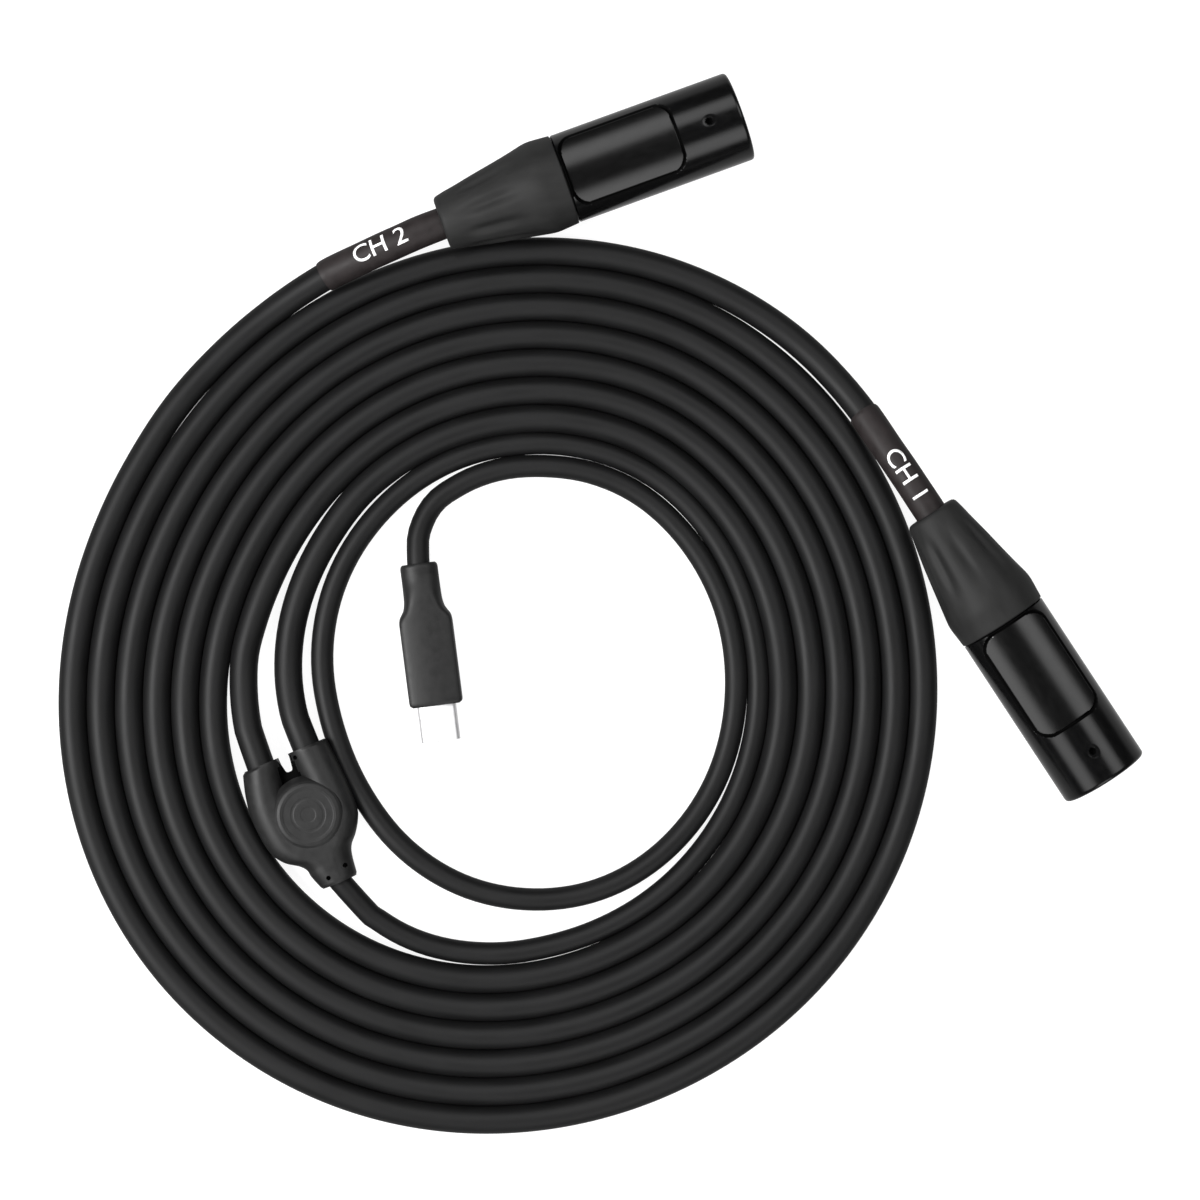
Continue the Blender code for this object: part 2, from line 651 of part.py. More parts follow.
def make_boot(side, frame, rubber, plastic):
    """The rubber boot, and the threaded collar in its nose that screws into the shell."""
    collar = (
        (COLLAR_BACK, COLLAR_BORE),
        (COLLAR_FRONT, COLLAR_BORE),
        (COLLAR_FRONT, SHELL_BORE - GAP),
        (COLLAR_BACK, SHELL_BORE - GAP),
    )
    add_mesh(side + "_collar", turned(collar, hollow=True), plastic, frame, smooth=True)
    tail = -BOOT_LENGTH
    outside = (
        (tail, BOOT_BORE),
        (tail, BOOT_TAIL_RADIUS - 0.8 * MM),
        (tail + 0.8 * MM, BOOT_TAIL_RADIUS),
        (tail + 9.0 * MM, BOOT_TAIL_RADIUS + 1.9 * MM),
        (BOOT_SHOULDER - 1.5 * MM, BOOT_SHOULDER_RADIUS - 0.3 * MM),
        (BOOT_SHOULDER, BOOT_SHOULDER_RADIUS),
        (-GAP, BOOT_FRONT_RADIUS),
    )
    inside = (
        (-GAP, SHELL_BORE),
        (COLLAR_BACK - GAP, SHELL_BORE),
        (COLLAR_BACK - GAP, BOOT_CHAMBER),
        (CHUCK_BACK + 4.5 * MM, BOOT_CHAMBER),
        (CHUCK_BACK - 0.5 * MM, BOOT_CHAMBER - 1.3 * MM),
        (CHUCK_BACK - 0.5 * MM, BOOT_BORE),
    )
    add_mesh(side + "_boot", turned(outside + inside, hollow=True), rubber, frame, smooth=True)


def make_sleeve(side, route, finish):
    """The printed shrink sleeve, round the lead just behind the boot."""
    nearest, farthest = SLEEVE_FROM_END
    steps = len(route) - 1
    spacing = (route[1] - route[0]).length
    first = steps - round(farthest / spacing)
    last = steps - round(nearest / spacing)
    sleeve = add_tube(side + "_sleeve", route[first : last + 1], SLEEVE_INNER_RADIUS + SLEEVE_WALL, finish)
    sleeve.data.use_fill_caps = False
    wall = sleeve.modifiers.new("wall", "SOLIDIFY")
    wall.thickness = SLEEVE_WALL
    wall.offset = -1.0
    wall.use_even_offset = True


def make_connector(side, connector, loops, finishes):
    frame = add_frame(side + "_connector", *connector)
    make_shell(side, frame, finishes["shell"])
    make_insert(side, frame, finishes["plastic"], finishes["pin"])
    make_chuck(side, frame, finishes["plastic"])
    make_boot(side, frame, finishes["rubber"], finishes["plastic"])
    make_wires(side, connector, finishes["wire"])
    route = smooth_route(end_route(loops, connector), POINT_SPACING)
    add_tube(side + "_lead_end", route, LEAD_DIAMETER / 2, finishes["jacket"])
    make_sleeve(side, route, finishes["sleeve"])


def main():
    for old in list(bpy.data.objects):
        bpy.data.objects.remove(old, do_unlink=True)
    finishes = {
        "jacket": material("jacket", (0.028, 0.028, 0.03), 0.55),
        "rubber": material("rubber", (0.032, 0.034, 0.036), 0.6),
        "sleeve": material("sleeve", (0.03, 0.026, 0.026), 0.5),
        "shell": material("shell", (0.012, 0.012, 0.013), 0.28, 0.6),
        "plastic": material("plastic", (0.015, 0.015, 0.016), 0.5),
        "pin": material("pin", (0.83, 0.72, 0.42), 0.25, 1.0),
        "wire": material("wire", (0.5, 0.03, 0.03), 0.5),
        "usb_metal": material("usb_metal", (0.8, 0.8, 0.8), 0.2, 1.0),
        "board": material("board", (0.02, 0.16, 0.06), 0.5),
        "chip": material("chip", (0.02, 0.02, 0.02), 0.45),
    }
    make_leads(finishes["jacket"])
    make_splitter(finishes["rubber"], finishes["board"])
    make_usb_plug(*(finishes[key] for key in ("rubber", "usb_metal", "plastic", "board", "chip")))
    make_connector("right", RIGHT_CONNECTOR, right_end_loops(), finishes)
    make_connector("left", LEFT_CONNECTOR, left_end_loops(), finishes)


main()
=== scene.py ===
"""The looks of a USB-C to two XLR audio cable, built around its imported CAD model.

Metres, +Z up, in the CAD model's frame: the cable lies on z = 0. The leads come first, then the splitter,
the USB-C plug, the two XLR connectors with their printed sleeves, and last the floor, the light and the
camera. Rows along a lead are (angle, radius, height) about the coil's centre, in degrees and millimetres.
"""

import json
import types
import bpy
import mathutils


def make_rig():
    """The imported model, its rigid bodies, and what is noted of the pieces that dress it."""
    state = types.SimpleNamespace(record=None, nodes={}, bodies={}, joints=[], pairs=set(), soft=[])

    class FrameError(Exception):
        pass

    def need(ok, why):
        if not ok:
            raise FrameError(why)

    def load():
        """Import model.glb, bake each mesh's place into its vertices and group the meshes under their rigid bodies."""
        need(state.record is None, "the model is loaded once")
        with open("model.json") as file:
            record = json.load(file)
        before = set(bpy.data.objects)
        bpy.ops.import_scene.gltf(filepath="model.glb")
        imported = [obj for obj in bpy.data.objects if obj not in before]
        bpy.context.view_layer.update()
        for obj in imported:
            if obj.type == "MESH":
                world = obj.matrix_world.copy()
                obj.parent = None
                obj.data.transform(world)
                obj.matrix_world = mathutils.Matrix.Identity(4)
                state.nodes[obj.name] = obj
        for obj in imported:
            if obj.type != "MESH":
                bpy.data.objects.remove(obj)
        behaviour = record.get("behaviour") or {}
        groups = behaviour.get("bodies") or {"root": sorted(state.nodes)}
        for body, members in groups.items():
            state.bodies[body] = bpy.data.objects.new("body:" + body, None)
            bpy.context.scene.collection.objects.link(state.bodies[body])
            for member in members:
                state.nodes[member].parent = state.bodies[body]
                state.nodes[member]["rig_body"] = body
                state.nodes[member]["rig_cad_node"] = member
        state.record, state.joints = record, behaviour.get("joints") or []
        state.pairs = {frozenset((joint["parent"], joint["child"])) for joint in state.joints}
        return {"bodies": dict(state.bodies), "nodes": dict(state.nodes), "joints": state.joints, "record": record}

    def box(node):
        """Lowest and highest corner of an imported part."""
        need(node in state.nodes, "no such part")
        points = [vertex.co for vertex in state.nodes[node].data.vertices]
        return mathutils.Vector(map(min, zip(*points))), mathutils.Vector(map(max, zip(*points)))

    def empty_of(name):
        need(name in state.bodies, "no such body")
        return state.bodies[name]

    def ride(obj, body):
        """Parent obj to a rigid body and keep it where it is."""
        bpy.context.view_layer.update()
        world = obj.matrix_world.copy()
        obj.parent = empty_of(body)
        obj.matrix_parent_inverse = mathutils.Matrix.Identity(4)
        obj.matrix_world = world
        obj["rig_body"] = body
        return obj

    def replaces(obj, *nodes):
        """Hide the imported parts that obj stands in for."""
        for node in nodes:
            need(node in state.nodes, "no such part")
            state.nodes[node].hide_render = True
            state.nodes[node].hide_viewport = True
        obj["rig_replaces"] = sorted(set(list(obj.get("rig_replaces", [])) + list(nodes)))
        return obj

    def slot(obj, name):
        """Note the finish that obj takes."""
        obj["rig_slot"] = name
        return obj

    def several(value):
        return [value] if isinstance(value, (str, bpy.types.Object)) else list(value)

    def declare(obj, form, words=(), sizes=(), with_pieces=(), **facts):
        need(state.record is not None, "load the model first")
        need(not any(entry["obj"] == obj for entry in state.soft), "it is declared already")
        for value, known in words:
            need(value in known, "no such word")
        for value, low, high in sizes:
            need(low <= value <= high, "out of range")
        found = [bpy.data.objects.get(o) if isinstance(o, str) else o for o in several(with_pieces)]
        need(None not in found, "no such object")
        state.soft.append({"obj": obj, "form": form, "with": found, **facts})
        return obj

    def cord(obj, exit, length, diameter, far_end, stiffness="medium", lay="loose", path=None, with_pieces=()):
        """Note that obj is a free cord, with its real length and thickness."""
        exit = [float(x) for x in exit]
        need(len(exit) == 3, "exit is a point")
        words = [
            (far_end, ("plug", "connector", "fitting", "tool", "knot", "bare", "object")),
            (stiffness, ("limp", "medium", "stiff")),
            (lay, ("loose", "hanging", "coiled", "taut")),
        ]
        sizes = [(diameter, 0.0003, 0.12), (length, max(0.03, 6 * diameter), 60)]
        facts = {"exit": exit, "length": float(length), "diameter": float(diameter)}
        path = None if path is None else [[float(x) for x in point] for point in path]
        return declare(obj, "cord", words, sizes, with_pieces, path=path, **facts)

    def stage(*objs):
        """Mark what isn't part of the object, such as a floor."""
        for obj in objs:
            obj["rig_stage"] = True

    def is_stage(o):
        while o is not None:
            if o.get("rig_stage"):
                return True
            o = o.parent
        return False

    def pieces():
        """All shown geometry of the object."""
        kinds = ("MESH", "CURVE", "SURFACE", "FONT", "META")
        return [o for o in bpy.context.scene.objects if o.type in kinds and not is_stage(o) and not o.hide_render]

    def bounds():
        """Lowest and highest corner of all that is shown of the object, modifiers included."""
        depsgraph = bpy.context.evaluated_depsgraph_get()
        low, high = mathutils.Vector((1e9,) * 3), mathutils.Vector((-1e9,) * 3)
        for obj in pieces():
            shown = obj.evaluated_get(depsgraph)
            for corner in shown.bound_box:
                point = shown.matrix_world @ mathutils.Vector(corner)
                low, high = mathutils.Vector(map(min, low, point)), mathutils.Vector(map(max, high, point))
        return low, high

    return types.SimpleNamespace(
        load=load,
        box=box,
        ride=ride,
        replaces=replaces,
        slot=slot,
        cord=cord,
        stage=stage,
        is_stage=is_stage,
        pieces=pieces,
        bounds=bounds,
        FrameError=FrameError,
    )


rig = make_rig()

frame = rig.load()
cad_low, cad_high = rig.bounds()

import json
import math
from pathlib import Path

import bmesh
import bpy
from mathutils import Matrix, Vector

MM = 0.001
RECORD = frame["record"]
UP = Vector((0.0, 0.0, 1.0))

# Leads
LEAD_RADIUS = 2.99 * MM
LEAD_PITCH = 5.94 * MM
USB_LEAD_RADIUS = 2.4 * MM
RING_SPACING = 2.0 * MM

# Height of a lead's middle where it lies on the surface, in millimetres like the routes' rows
LEAD_LIES_AT = 2.98
USB_LEAD_LIES_AT = 2.42

# Coil: two leads side by side, each stepping out by two pitches early in a turn
COIL_CENTRE = Vector((-21.6 * MM, -18.4 * MM, 0.0))
COIL_START_ANGLE = 160.0
RIGHT_START_RADIUS = 54.36 * MM
LEFT_START_RADIUS = RIGHT_START_RADIUS - LEAD_PITCH
GROWTH_DEGREES = 108.0
FULL_TURNS = 3
TURN_STEP = 6.0

# Where the coil is out of round: (middle, half width) in degrees, and height
BULGES = (
    (232.0, 72.0, 1.9 * MM),
    (148.0, 75.0, -0.75 * MM),
    (92.0, 34.0, -0.2 * MM),
    (45.0, 45.0, 0.8 * MM),
)

# Splitter, in its own frame: +X towards the XLR leads
SPLITTER_ANGLE = 113.0
SPLITTER_FRONT = 13.9 * MM
SPLITTER_BACK = -15.2 * MM
SPLITTER_ENTRY = 4.0 * MM
OUTLET_OFFSET = 5.2 * MM
USB_OUTLET_OFFSET = 0.2 * MM
SPLITTER_MIDLINE = 0.4 * MM
SPLITTER_PITS = ((12.6 * MM, -2.0 * MM), (-12.3 * MM, -2.9 * MM), (-13.4 * MM, 1.3 * MM))

# USB-C plug, in its own frame: +X towards the metal tip
USB_TIP = 37.8 * MM
USB_RIM_LEVEL = 1.05 * MM
USB_ENTRY = 5.0 * MM
USB_HOUSING_LENGTH = 30.2 * MM
USB_SHELL_WALL = 0.3 * MM
USB_SHELL_BACK = 29.0 * MM

# XLR connectors, in their own frames: +X towards the open front, x = 0 at the seam behind the shell
SHELL_LENGTH = 39.0 * MM
SHELL_RADIUS = 9.5 * MM
SHELL_BORE = 8.2 * MM
SHELL_INSIDE = SHELL_BORE + 0.04 * MM
LEAD_IN_CONNECTOR = 1.0 * MM
PIN_CIRCLE_RADIUS = 4.75 * MM
INSERT_FRONT = 24.5 * MM

# The shell's panels, above and below, and the groove of this width and depth round each
PANEL_CENTRE = 12.75 * MM
PANEL_HALF_LENGTH = 12.45 * MM
PANEL_HALF_WIDTH = 7.6 * MM
PANEL_CORNER = 3.4 * MM
PANEL_CROWN = 8.36 * MM
PANEL_CROWN_RADIUS = 13.4 * MM
PANEL_EDGE = 0.15 * MM
GROOVE = 0.42 * MM
GROOVE_DEPTH = 0.5 * MM

# The latch's mark: an oval dent with these half sizes, and a hole just behind its middle, in millimetres
LATCH_AT = 32.0 * MM
DENT = (1.7, 1.4)
DENT_DEPTH = 0.09 * MM
HOLE_BEHIND = 0.2
HOLE_RADIUS = 0.75

# Sleeves, by how far from the lead's end they lie
SLEEVE_FROM_END = {"right": (24.0 * MM, 55.0 * MM), "left": (24.0 * MM, 54.0 * MM)}
SLEEVE_RADIUS = 3.38 * MM
MARK_LIFT = 0.045 * MM

# Light: soft boxes as (azimuth, angle from overhead, fully bright within, dark beyond), in degrees
SOFT_BOXES = (
    (110.0, 34.0, 5.0, 22.0),
    (33.0, 34.0, 5.0, 22.0),
    (-70.0, 51.0, 7.0, 25.0),
    (-147.0, 51.0, 7.0, 25.0),
)
SOFT_BOX_LEVEL = 4.2
ROOM_LEVEL = 0.08
BELOW_LEVEL = 0.55


# Places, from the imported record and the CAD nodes


def placed_along(origin, forward):
    """A frame whose +X is a level direction."""
    turn = math.atan2(forward[1], forward[0])
    return Matrix.Translation(Vector(origin)) @ Matrix.Rotation(turn, 4, "Z")


def connector_place(side):
    joints = RECORD["behaviour"]["joints"]
    screw = next(joint for joint in joints if joint["name"] == side + "_boot_turn")
    return placed_along(screw["pos_m"], [-part for part in screw["axis"]])


def usb_place():
    tip = next(mount for mount in RECORD["mounts"] if mount["name"] == "usb_tip")
    forward = Vector(tip["axis"])
    return placed_along(Vector(tip["pos_m"]) - UP * USB_RIM_LEVEL - forward * USB_TIP, forward)


def splitter_place():
    low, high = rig.box("splitter_core")
    return Matrix.Translation((low + high) / 2) @ Matrix.Rotation(math.radians(SPLITTER_ANGLE), 4, "Z")


PLACES = {side: connector_place(side) for side in ("right", "left")}
USB = usb_place()
SPLITTER = splitter_place()


# Materials

# The range that a noise's values mostly stay in
NOISE_LOW = 0.3
NOISE_HIGH = 0.7


def surface(
    name, dark, light, grain, roughness, bump=None, stretch=(1, 1, 1), coordinates="Object", **fixed
):
    """A mottled material: noise moves its colour from dark to light and its roughness over a range.

    grain is the size of the noise in metres, and bump is (size, height) of a second, finer noise.
    fixed holds the shader's own sockets, such as Metallic.
    """
    made = bpy.data.materials.new(name)
    made.use_nodes = True
    nodes, links = made.node_tree.nodes, made.node_tree.links
    shader = nodes["Principled BSDF"]
    for socket, value in fixed.items():
        shader.inputs[socket.replace("_", " ")].default_value = value
    where = nodes.new("ShaderNodeTexCoord")
    mapping = nodes.new("ShaderNodeMapping")
    mapping.inputs["Scale"].default_value = stretch
    links.new(where.outputs[coordinates], mapping.inputs["Vector"])
    noise = nodes.new("ShaderNodeTexNoise")
    noise.inputs["Scale"].default_value = 1 / grain
    noise.inputs["Detail"].default_value = 5.0
    links.new(mapping.outputs["Vector"], noise.inputs["Vector"])
    ramp = nodes.new("ShaderNodeValToRGB")
    ramp.color_ramp.elements[0].position = NOISE_LOW
    ramp.color_ramp.elements[1].position = NOISE_HIGH
    ramp.color_ramp.elements[0].color = (*dark, 1.0)
    ramp.color_ramp.elements[1].color = (*light, 1.0)
    links.new(noise.outputs["Fac"], ramp.inputs["Fac"])
    links.new(ramp.outputs["Color"], shader.inputs["Base Color"])
    spread = nodes.new("ShaderNodeMapRange")
    spread.inputs["From Min"].default_value = NOISE_LOW
    spread.inputs["From Max"].default_value = NOISE_HIGH
    spread.inputs["To Min"].default_value = roughness[0]
    spread.inputs["To Max"].default_value = roughness[1]
    links.new(noise.outputs["Fac"], spread.inputs["Value"])
    links.new(spread.outputs["Result"], shader.inputs["Roughness"])
    if bump:
        size, height = bump
        fine = nodes.new("ShaderNodeTexNoise")
        fine.inputs["Scale"].default_value = 1 / size
        fine.inputs["Detail"].default_value = 3.0
        links.new(mapping.outputs["Vector"], fine.inputs["Vector"])
        relief = nodes.new("ShaderNodeBump")
        relief.inputs["Strength"].default_value = 1.0
        relief.inputs["Distance"].default_value = height
        links.new(fine.outputs["Fac"], relief.inputs["Height"])
        links.new(relief.outputs["Normal"], shader.inputs["Normal"])
    return made


def make_materials():
    return {
        "jacket": surface(
            "jacket", (0.003, 0.003, 0.0031), (0.0052, 0.0052, 0.0054), 3 * MM, (0.48, 0.56),
            (0.5 * MM, 0.012 * MM), stretch=(0.25, 1, 1), coordinates="UV", Specular_IOR_Level=0.19,
        ),
        "rubber": surface(
            "rubber", (0.0075, 0.0075, 0.0075), (0.0115, 0.0115, 0.0115), 1.5 * MM, (0.44, 0.52),
            (0.25 * MM, 0.012 * MM), Specular_IOR_Level=0.24,
        ),
        "boot": surface(
            "boot", (0.0135, 0.0135, 0.0134), (0.0195, 0.0195, 0.0193), 2.5 * MM, (0.5, 0.58),
            (0.3 * MM, 0.014 * MM), stretch=(0.4, 1, 1), Specular_IOR_Level=0.11,
        ),
        "sleeve": surface(
            "sleeve", (0.0115, 0.009, 0.009), (0.018, 0.0145, 0.0145), 2 * MM, (0.48, 0.6),
            (1.2 * MM, 0.03 * MM), coordinates="UV", Specular_IOR_Level=0.2,
        ),
        "print": surface(
            "print", (0.74, 0.74, 0.74), (0.88, 0.88, 0.87), 0.6 * MM, (0.5, 0.65), Specular_IOR_Level=0.3,
        ),
        "shell": surface(
            "shell", (0.0016, 0.0016, 0.0017), (0.0028, 0.0028, 0.0029), 1.2 * MM, (0.17, 0.22),
            (0.18 * MM, 0.002 * MM), stretch=(0.5, 1, 1), Specular_IOR_Level=0.24,
        ),
        "panel": surface(
            "panel", (0.0018, 0.0018, 0.0018), (0.0025, 0.0025, 0.0025), 1.2 * MM, (0.21, 0.25),
            (0.18 * MM, 0.002 * MM), stretch=(0.5, 1, 1), Specular_IOR_Level=0.3,
        ),
        # A darker, rougher black with almost no reflection, put in the shell's grooves, the latch's hole and the
        # splitter's notch: painted shade.
        "recess_painted_shade": surface(
            "recess_painted_shade", (0.0006, 0.0006, 0.0006), (0.0014, 0.0014, 0.0014), 0.6 * MM, (0.7, 0.85),
            (0.2 * MM, 0.002 * MM), Specular_IOR_Level=0.04,
        ),
        "plastic": surface(
            "plastic", (0.01, 0.01, 0.011), (0.016, 0.016, 0.017), 1.0 * MM, (0.35, 0.45),
            (0.2 * MM, 0.006 * MM),
        ),
        "pin": surface(
            "pin", (0.78, 0.6, 0.3), (0.88, 0.73, 0.42), 1.5 * MM, (0.18, 0.28), (0.3 * MM, 0.002 * MM),
            stretch=(0.2, 1, 1), Metallic=1.0,
        ),
        "wire": surface("wire", (0.35, 0.02, 0.02), (0.5, 0.04, 0.03), 1.0 * MM, (0.4, 0.5)),
        "usb_metal": surface(
            "usb_metal", (0.86, 0.86, 0.87), (0.96, 0.96, 0.96), 0.8 * MM, (0.42, 0.5),
            (0.15 * MM, 0.002 * MM), stretch=(0.15, 1, 1), Metallic=1.0,
        ),
        "board": surface("board", (0.012, 0.11, 0.04), (0.02, 0.16, 0.06), 0.8 * MM, (0.35, 0.5)),
        "chip": surface("chip", (0.015, 0.015, 0.015), (0.03, 0.03, 0.03), 0.3 * MM, (0.5, 0.6)),
    }


FINISHES = make_materials()

# Finishes that go by another finish's slot
SLOTS = {"print": "sleeve", "boot": "rubber"}

# Edges sharper than this stay sharp, in degrees
SHARP = 32.0


# Shapes


def add_piece(name, mesh, finish, place=None, body="cable", sharp=SHARP):
    """A named piece that rides on a CAD body and takes the finish's material and slot."""
    made = bpy.data.objects.new(name, mesh)
    bpy.context.collection.objects.link(made)
    mesh.materials.clear()
    mesh.materials.append(FINISHES[finish])
    mesh.shade_smooth()
    mesh.set_sharp_from_angle(angle=math.radians(sharp))
    if place is not None:
        made.matrix_world = place
    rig.ride(made, body)
    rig.slot(made, SLOTS.get(finish, finish))
    return made


def skin(name, rings, loop=False):
    """A closed mesh over rings of points, capped at both ends, or joined end to end with loop."""
    shape = bmesh.new()
    made = [[shape.verts.new(point) for point in ring] for ring in rings]
    pairs = list(zip(made, made[1:]))
    if loop:
        pairs.append((made[-1], made[0]))
    else:
        shape.faces.new(made[0])
        shape.faces.new(made[-1])
    for ring, following in pairs:
        for i in range(len(ring)):
            j = (i + 1) % len(ring)
            shape.faces.new((ring[i], ring[j], following[j], following[i]))
    bmesh.ops.remove_doubles(shape, verts=shape.verts, dist=0.0005 * MM)
    bmesh.ops.recalc_face_normals(shape, faces=shape.faces)
    mesh = bpy.data.meshes.new(name)
    shape.to_mesh(mesh)
    shape.free()
    return mesh


def filleted(corners, steps=4):
    """Outline points through (x, y, fillet) corners, each rounded off over its fillet length.

    The first and the last corner have no fillet.
    """
    points = []
    for i, (x, y, size) in enumerate(corners):
        corner = Vector((x, y))
        if size == 0:
            points.append(corner)
            continue
        before = Vector(corners[i - 1][:2])
        after = Vector(corners[i + 1][:2])
        start = corner + (before - corner).normalized() * size
        end = corner + (after - corner).normalized() * size
        for step in range(steps + 1):
            t = step / steps
            points.append(start * (1 - t) ** 2 + corner * (2 * t * (1 - t)) + end * t**2)
    return points


def finer(points, longest):
    """The same outline with its long straight runs divided."""
    divided = []
    for a, b in zip(points, points[1:]):
        count = max(1, math.ceil((b - a).length / longest))
        divided += [a.lerp(b, i / count) for i in range(count)]
    return divided + [points[-1]]


def round_angles(count):
    return [2 * math.pi * i / count for i in range(count)]


def ring_about_x(x, radius, angles):
    """Points round the X axis, from the top towards +Y. radius is a number or a function of angle."""
    radii = [radius(angle) if callable(radius) else radius for angle in angles]
    return [(x, r * math.sin(angle), r * math.cos(angle)) for r, angle in zip(radii, angles)]


def turned(name, profile, count):
    """A body turned about X from (x, radius) points."""
    angles = round_angles(count)
    return skin(name, [ring_about_x(x, radius, angles) for x, radius in profile])


def finish_faces(mesh, finish, chosen):
    """Gives the finish to the mesh's faces whose middles pass a test."""
    mesh.materials.append(FINISHES[finish])
    for face in mesh.polygons:
        if chosen(face.center):
            face.material_index = len(mesh.materials) - 1


def smooth_step(x):
    x = min(max(x, 0.0), 1.0)
    return x * x * (3 - 2 * x)


def smooth_curve(points, steps):
    """A finer list of points, on a smooth curve through these ones."""
    ends = [2 * points[0] - points[1], *points, 2 * points[-1] - points[-2]]
    fine = []
    for a, b, c, d in zip(ends, ends[1:], ends[2:], ends[3:]):
        for step in range(steps):
            t = step / steps
            bend = (2 * a - 5 * b + 4 * c - d) * t * t + (3 * b - 3 * c + d - a) * t**3
            fine.append(b + ((c - a) * t + bend) / 2)
    fine.append(points[-1])
    return fine


def value_at(table, x):
    """A smooth value between the rows of an (x, value) table, held at its ends."""
    if x <= table[0][0]:
        return table[0][1]
    for (x0, y0), (x1, y1) in zip(table, table[1:]):
        if x <= x1:
            return y0 + (y1 - y0) * smooth_step((x - x0) / (x1 - x0))
    return table[-1][1]


def outline_at(corners, x):
    """The height of a smooth outline through these (x, height) corners."""
    points = smooth_curve([Vector(corner) for corner in corners], 12)
    for a, b in zip(points, points[1:]):
        if x <= b.x:
            return a.y + (b.y - a.y) * max(x - a.x, 0.0) / (b.x - a.x)
    return points[-1].y


def spaced(points, spacing):
    """Evenly spaced points on a smooth curve through a route's own points."""
    fine = smooth_curve(points, 12)
    lengths = [0.0]
    for a, b in zip(fine, fine[1:]):
        lengths.append(lengths[-1] + (b - a).length)
    count = round(lengths[-1] / spacing)
    even, k = [], 0
    for i in range(count + 1):
        along = lengths[-1] * i / count
        while k < len(fine) - 2 and lengths[k + 1] < along:
            k += 1
        share = (along - lengths[k]) / (lengths[k + 1] - lengths[k])
        even.append(fine[k].lerp(fine[k + 1], min(share, 1.0)))
    return even


def route_length(points):
    return sum((b - a).length for a, b in zip(points, points[1:]))


def route_frames(points):
    """(point, forward, downward, sideways) along a route, without twist."""
    frames = []
    down = -UP
    for i, point in enumerate(points):
        forward = (points[min(i + 1, len(points) - 1)] - points[max(i - 1, 0)]).normalized()
        down = (down - forward * down.dot(forward)).normalized()
        frames.append((point, forward, down, forward.cross(down)))
    return frames


def tube(name, points, radius, count=24, bore=0.0):
    """A round tube along a route, its UVs in metres along and round it, from a seam underneath.

    radius is a number or a function of the distance along. A bore makes it hollow.
    """
    angles = round_angles(count)
    frames = route_frames(points)
    distances = [0.0]
    for a, b in zip(points, points[1:]):
        distances.append(distances[-1] + (b - a).length)
    stations = [(i, radius(d) if callable(radius) else radius) for i, d in enumerate(distances)]
    if bore:
        stations += [(i, bore) for i in reversed(range(len(points)))]
    rings = []
    for i, wide in stations:
        point, _, down, side = frames[i]
        rings.append([point + (down * math.cos(a) + side * math.sin(a)) * wide for a in angles])
    vertices = [point for ring in rings for point in ring]
    pairs = list(zip(range(len(rings)), range(1, len(rings))))
    if bore:
        pairs.append((len(rings) - 1, 0))
    faces, places = [], []
    for i, j in pairs:
        for k in range(count):
            after = (k + 1) % count
            faces.append((i * count + k, j * count + k, j * count + after, i * count + after))
            places += [(i, k), (j, k), (j, k + 1), (i, k + 1)]
    if not bore:
        for i, turn in ((0, 1), (len(rings) - 1, -1)):
            cap = [(i, k) for k in range(count)][::turn]
            faces.append([i * count + k for _, k in cap])
            places += cap
    mesh = bpy.data.meshes.new(name)
    mesh.from_pydata(vertices, [], faces)
    layer = mesh.uv_layers.new(name="UVMap")
    for loop, (i, k) in zip(layer.data, places):
        station, wide = stations[i]
        loop.uv = (distances[station], 2 * math.pi * wide * k / count)
    return mesh


def evaluated_mesh(thing):
    """A new mesh of the object, as its modifiers or its text leave it."""
    bpy.context.view_layer.update()
    graph = bpy.context.evaluated_depsgraph_get()
    return bpy.data.meshes.new_from_object(thing.evaluated_get(graph))


def carved(target, cutters):
    """Takes the cutters' meshes, which are in the target's frame, out of the target piece."""
    for cutter_mesh in cutters:
        cutter = bpy.data.objects.new("cutter", cutter_mesh)
        bpy.context.collection.objects.link(cutter)
        cutter.matrix_world = target.matrix_world
        cut = target.modifiers.new("cut", "BOOLEAN")
        cut.operation = "DIFFERENCE"
        cut.solver = "EXACT"
        cut.object = cutter
        result = evaluated_mesh(target)
        target.modifiers.clear()
        old = target.data
        target.data = result
        bpy.data.meshes.remove(old)
        bpy.data.objects.remove(cutter, do_unlink=True)
    target.data.shade_smooth()
    target.data.set_sharp_from_angle(angle=math.radians(SHARP))


# Leads


def on_coil(angle, radius, height):
    turn = math.radians(angle)
    return COIL_CENTRE + Vector((radius * math.cos(turn), radius * math.sin(turn), height))


def bulge(angle):
    """How far the coil is out of round at this angle."""
    total = 0.0
    for middle, half_width, height in BULGES:
        away = abs((angle - middle + 180) % 360 - 180)
        if away < half_width:
            total += height * (1 + math.cos(math.pi * away / half_width)) / 2
    return total


def strand_radius(start_radius, swept):
    """A lead's distance from the coil's centre after this many degrees clockwise."""
    turns = math.floor(swept / 360)
    share = smooth_step((swept - 360 * turns) / GROWTH_DEGREES)
    return start_radius + 2 * LEAD_PITCH * (turns + share) + bulge(COIL_START_ANGLE - swept)


def turns_of(start_radius, joins, leaves):
    """Rows round the coil between two sweeps, both in degrees clockwise from the coil's start angle."""
    count = round((leaves - joins) / TURN_STEP)
    rows = []
    for i in range(count + 1):
        swept = joins + (leaves - joins) * i / count
        rows.append((COIL_START_ANGLE - swept, strand_radius(start_radius, swept) / MM, LEAD_LIES_AT))
    return rows


def turned_back(rows, degrees):
    """The same rows, counted on from a lead's later turns."""
    return [(angle - degrees, radius, height) for angle, radius, height in rows]


def round_the_coil(rows):
    """Points in space on a smooth curve through (angle, radius, height) rows."""
    fine = smooth_curve([Vector(row) for row in rows], 4)
    return [on_coil(row.x, row.y * MM, row.z * MM) for row in fine]


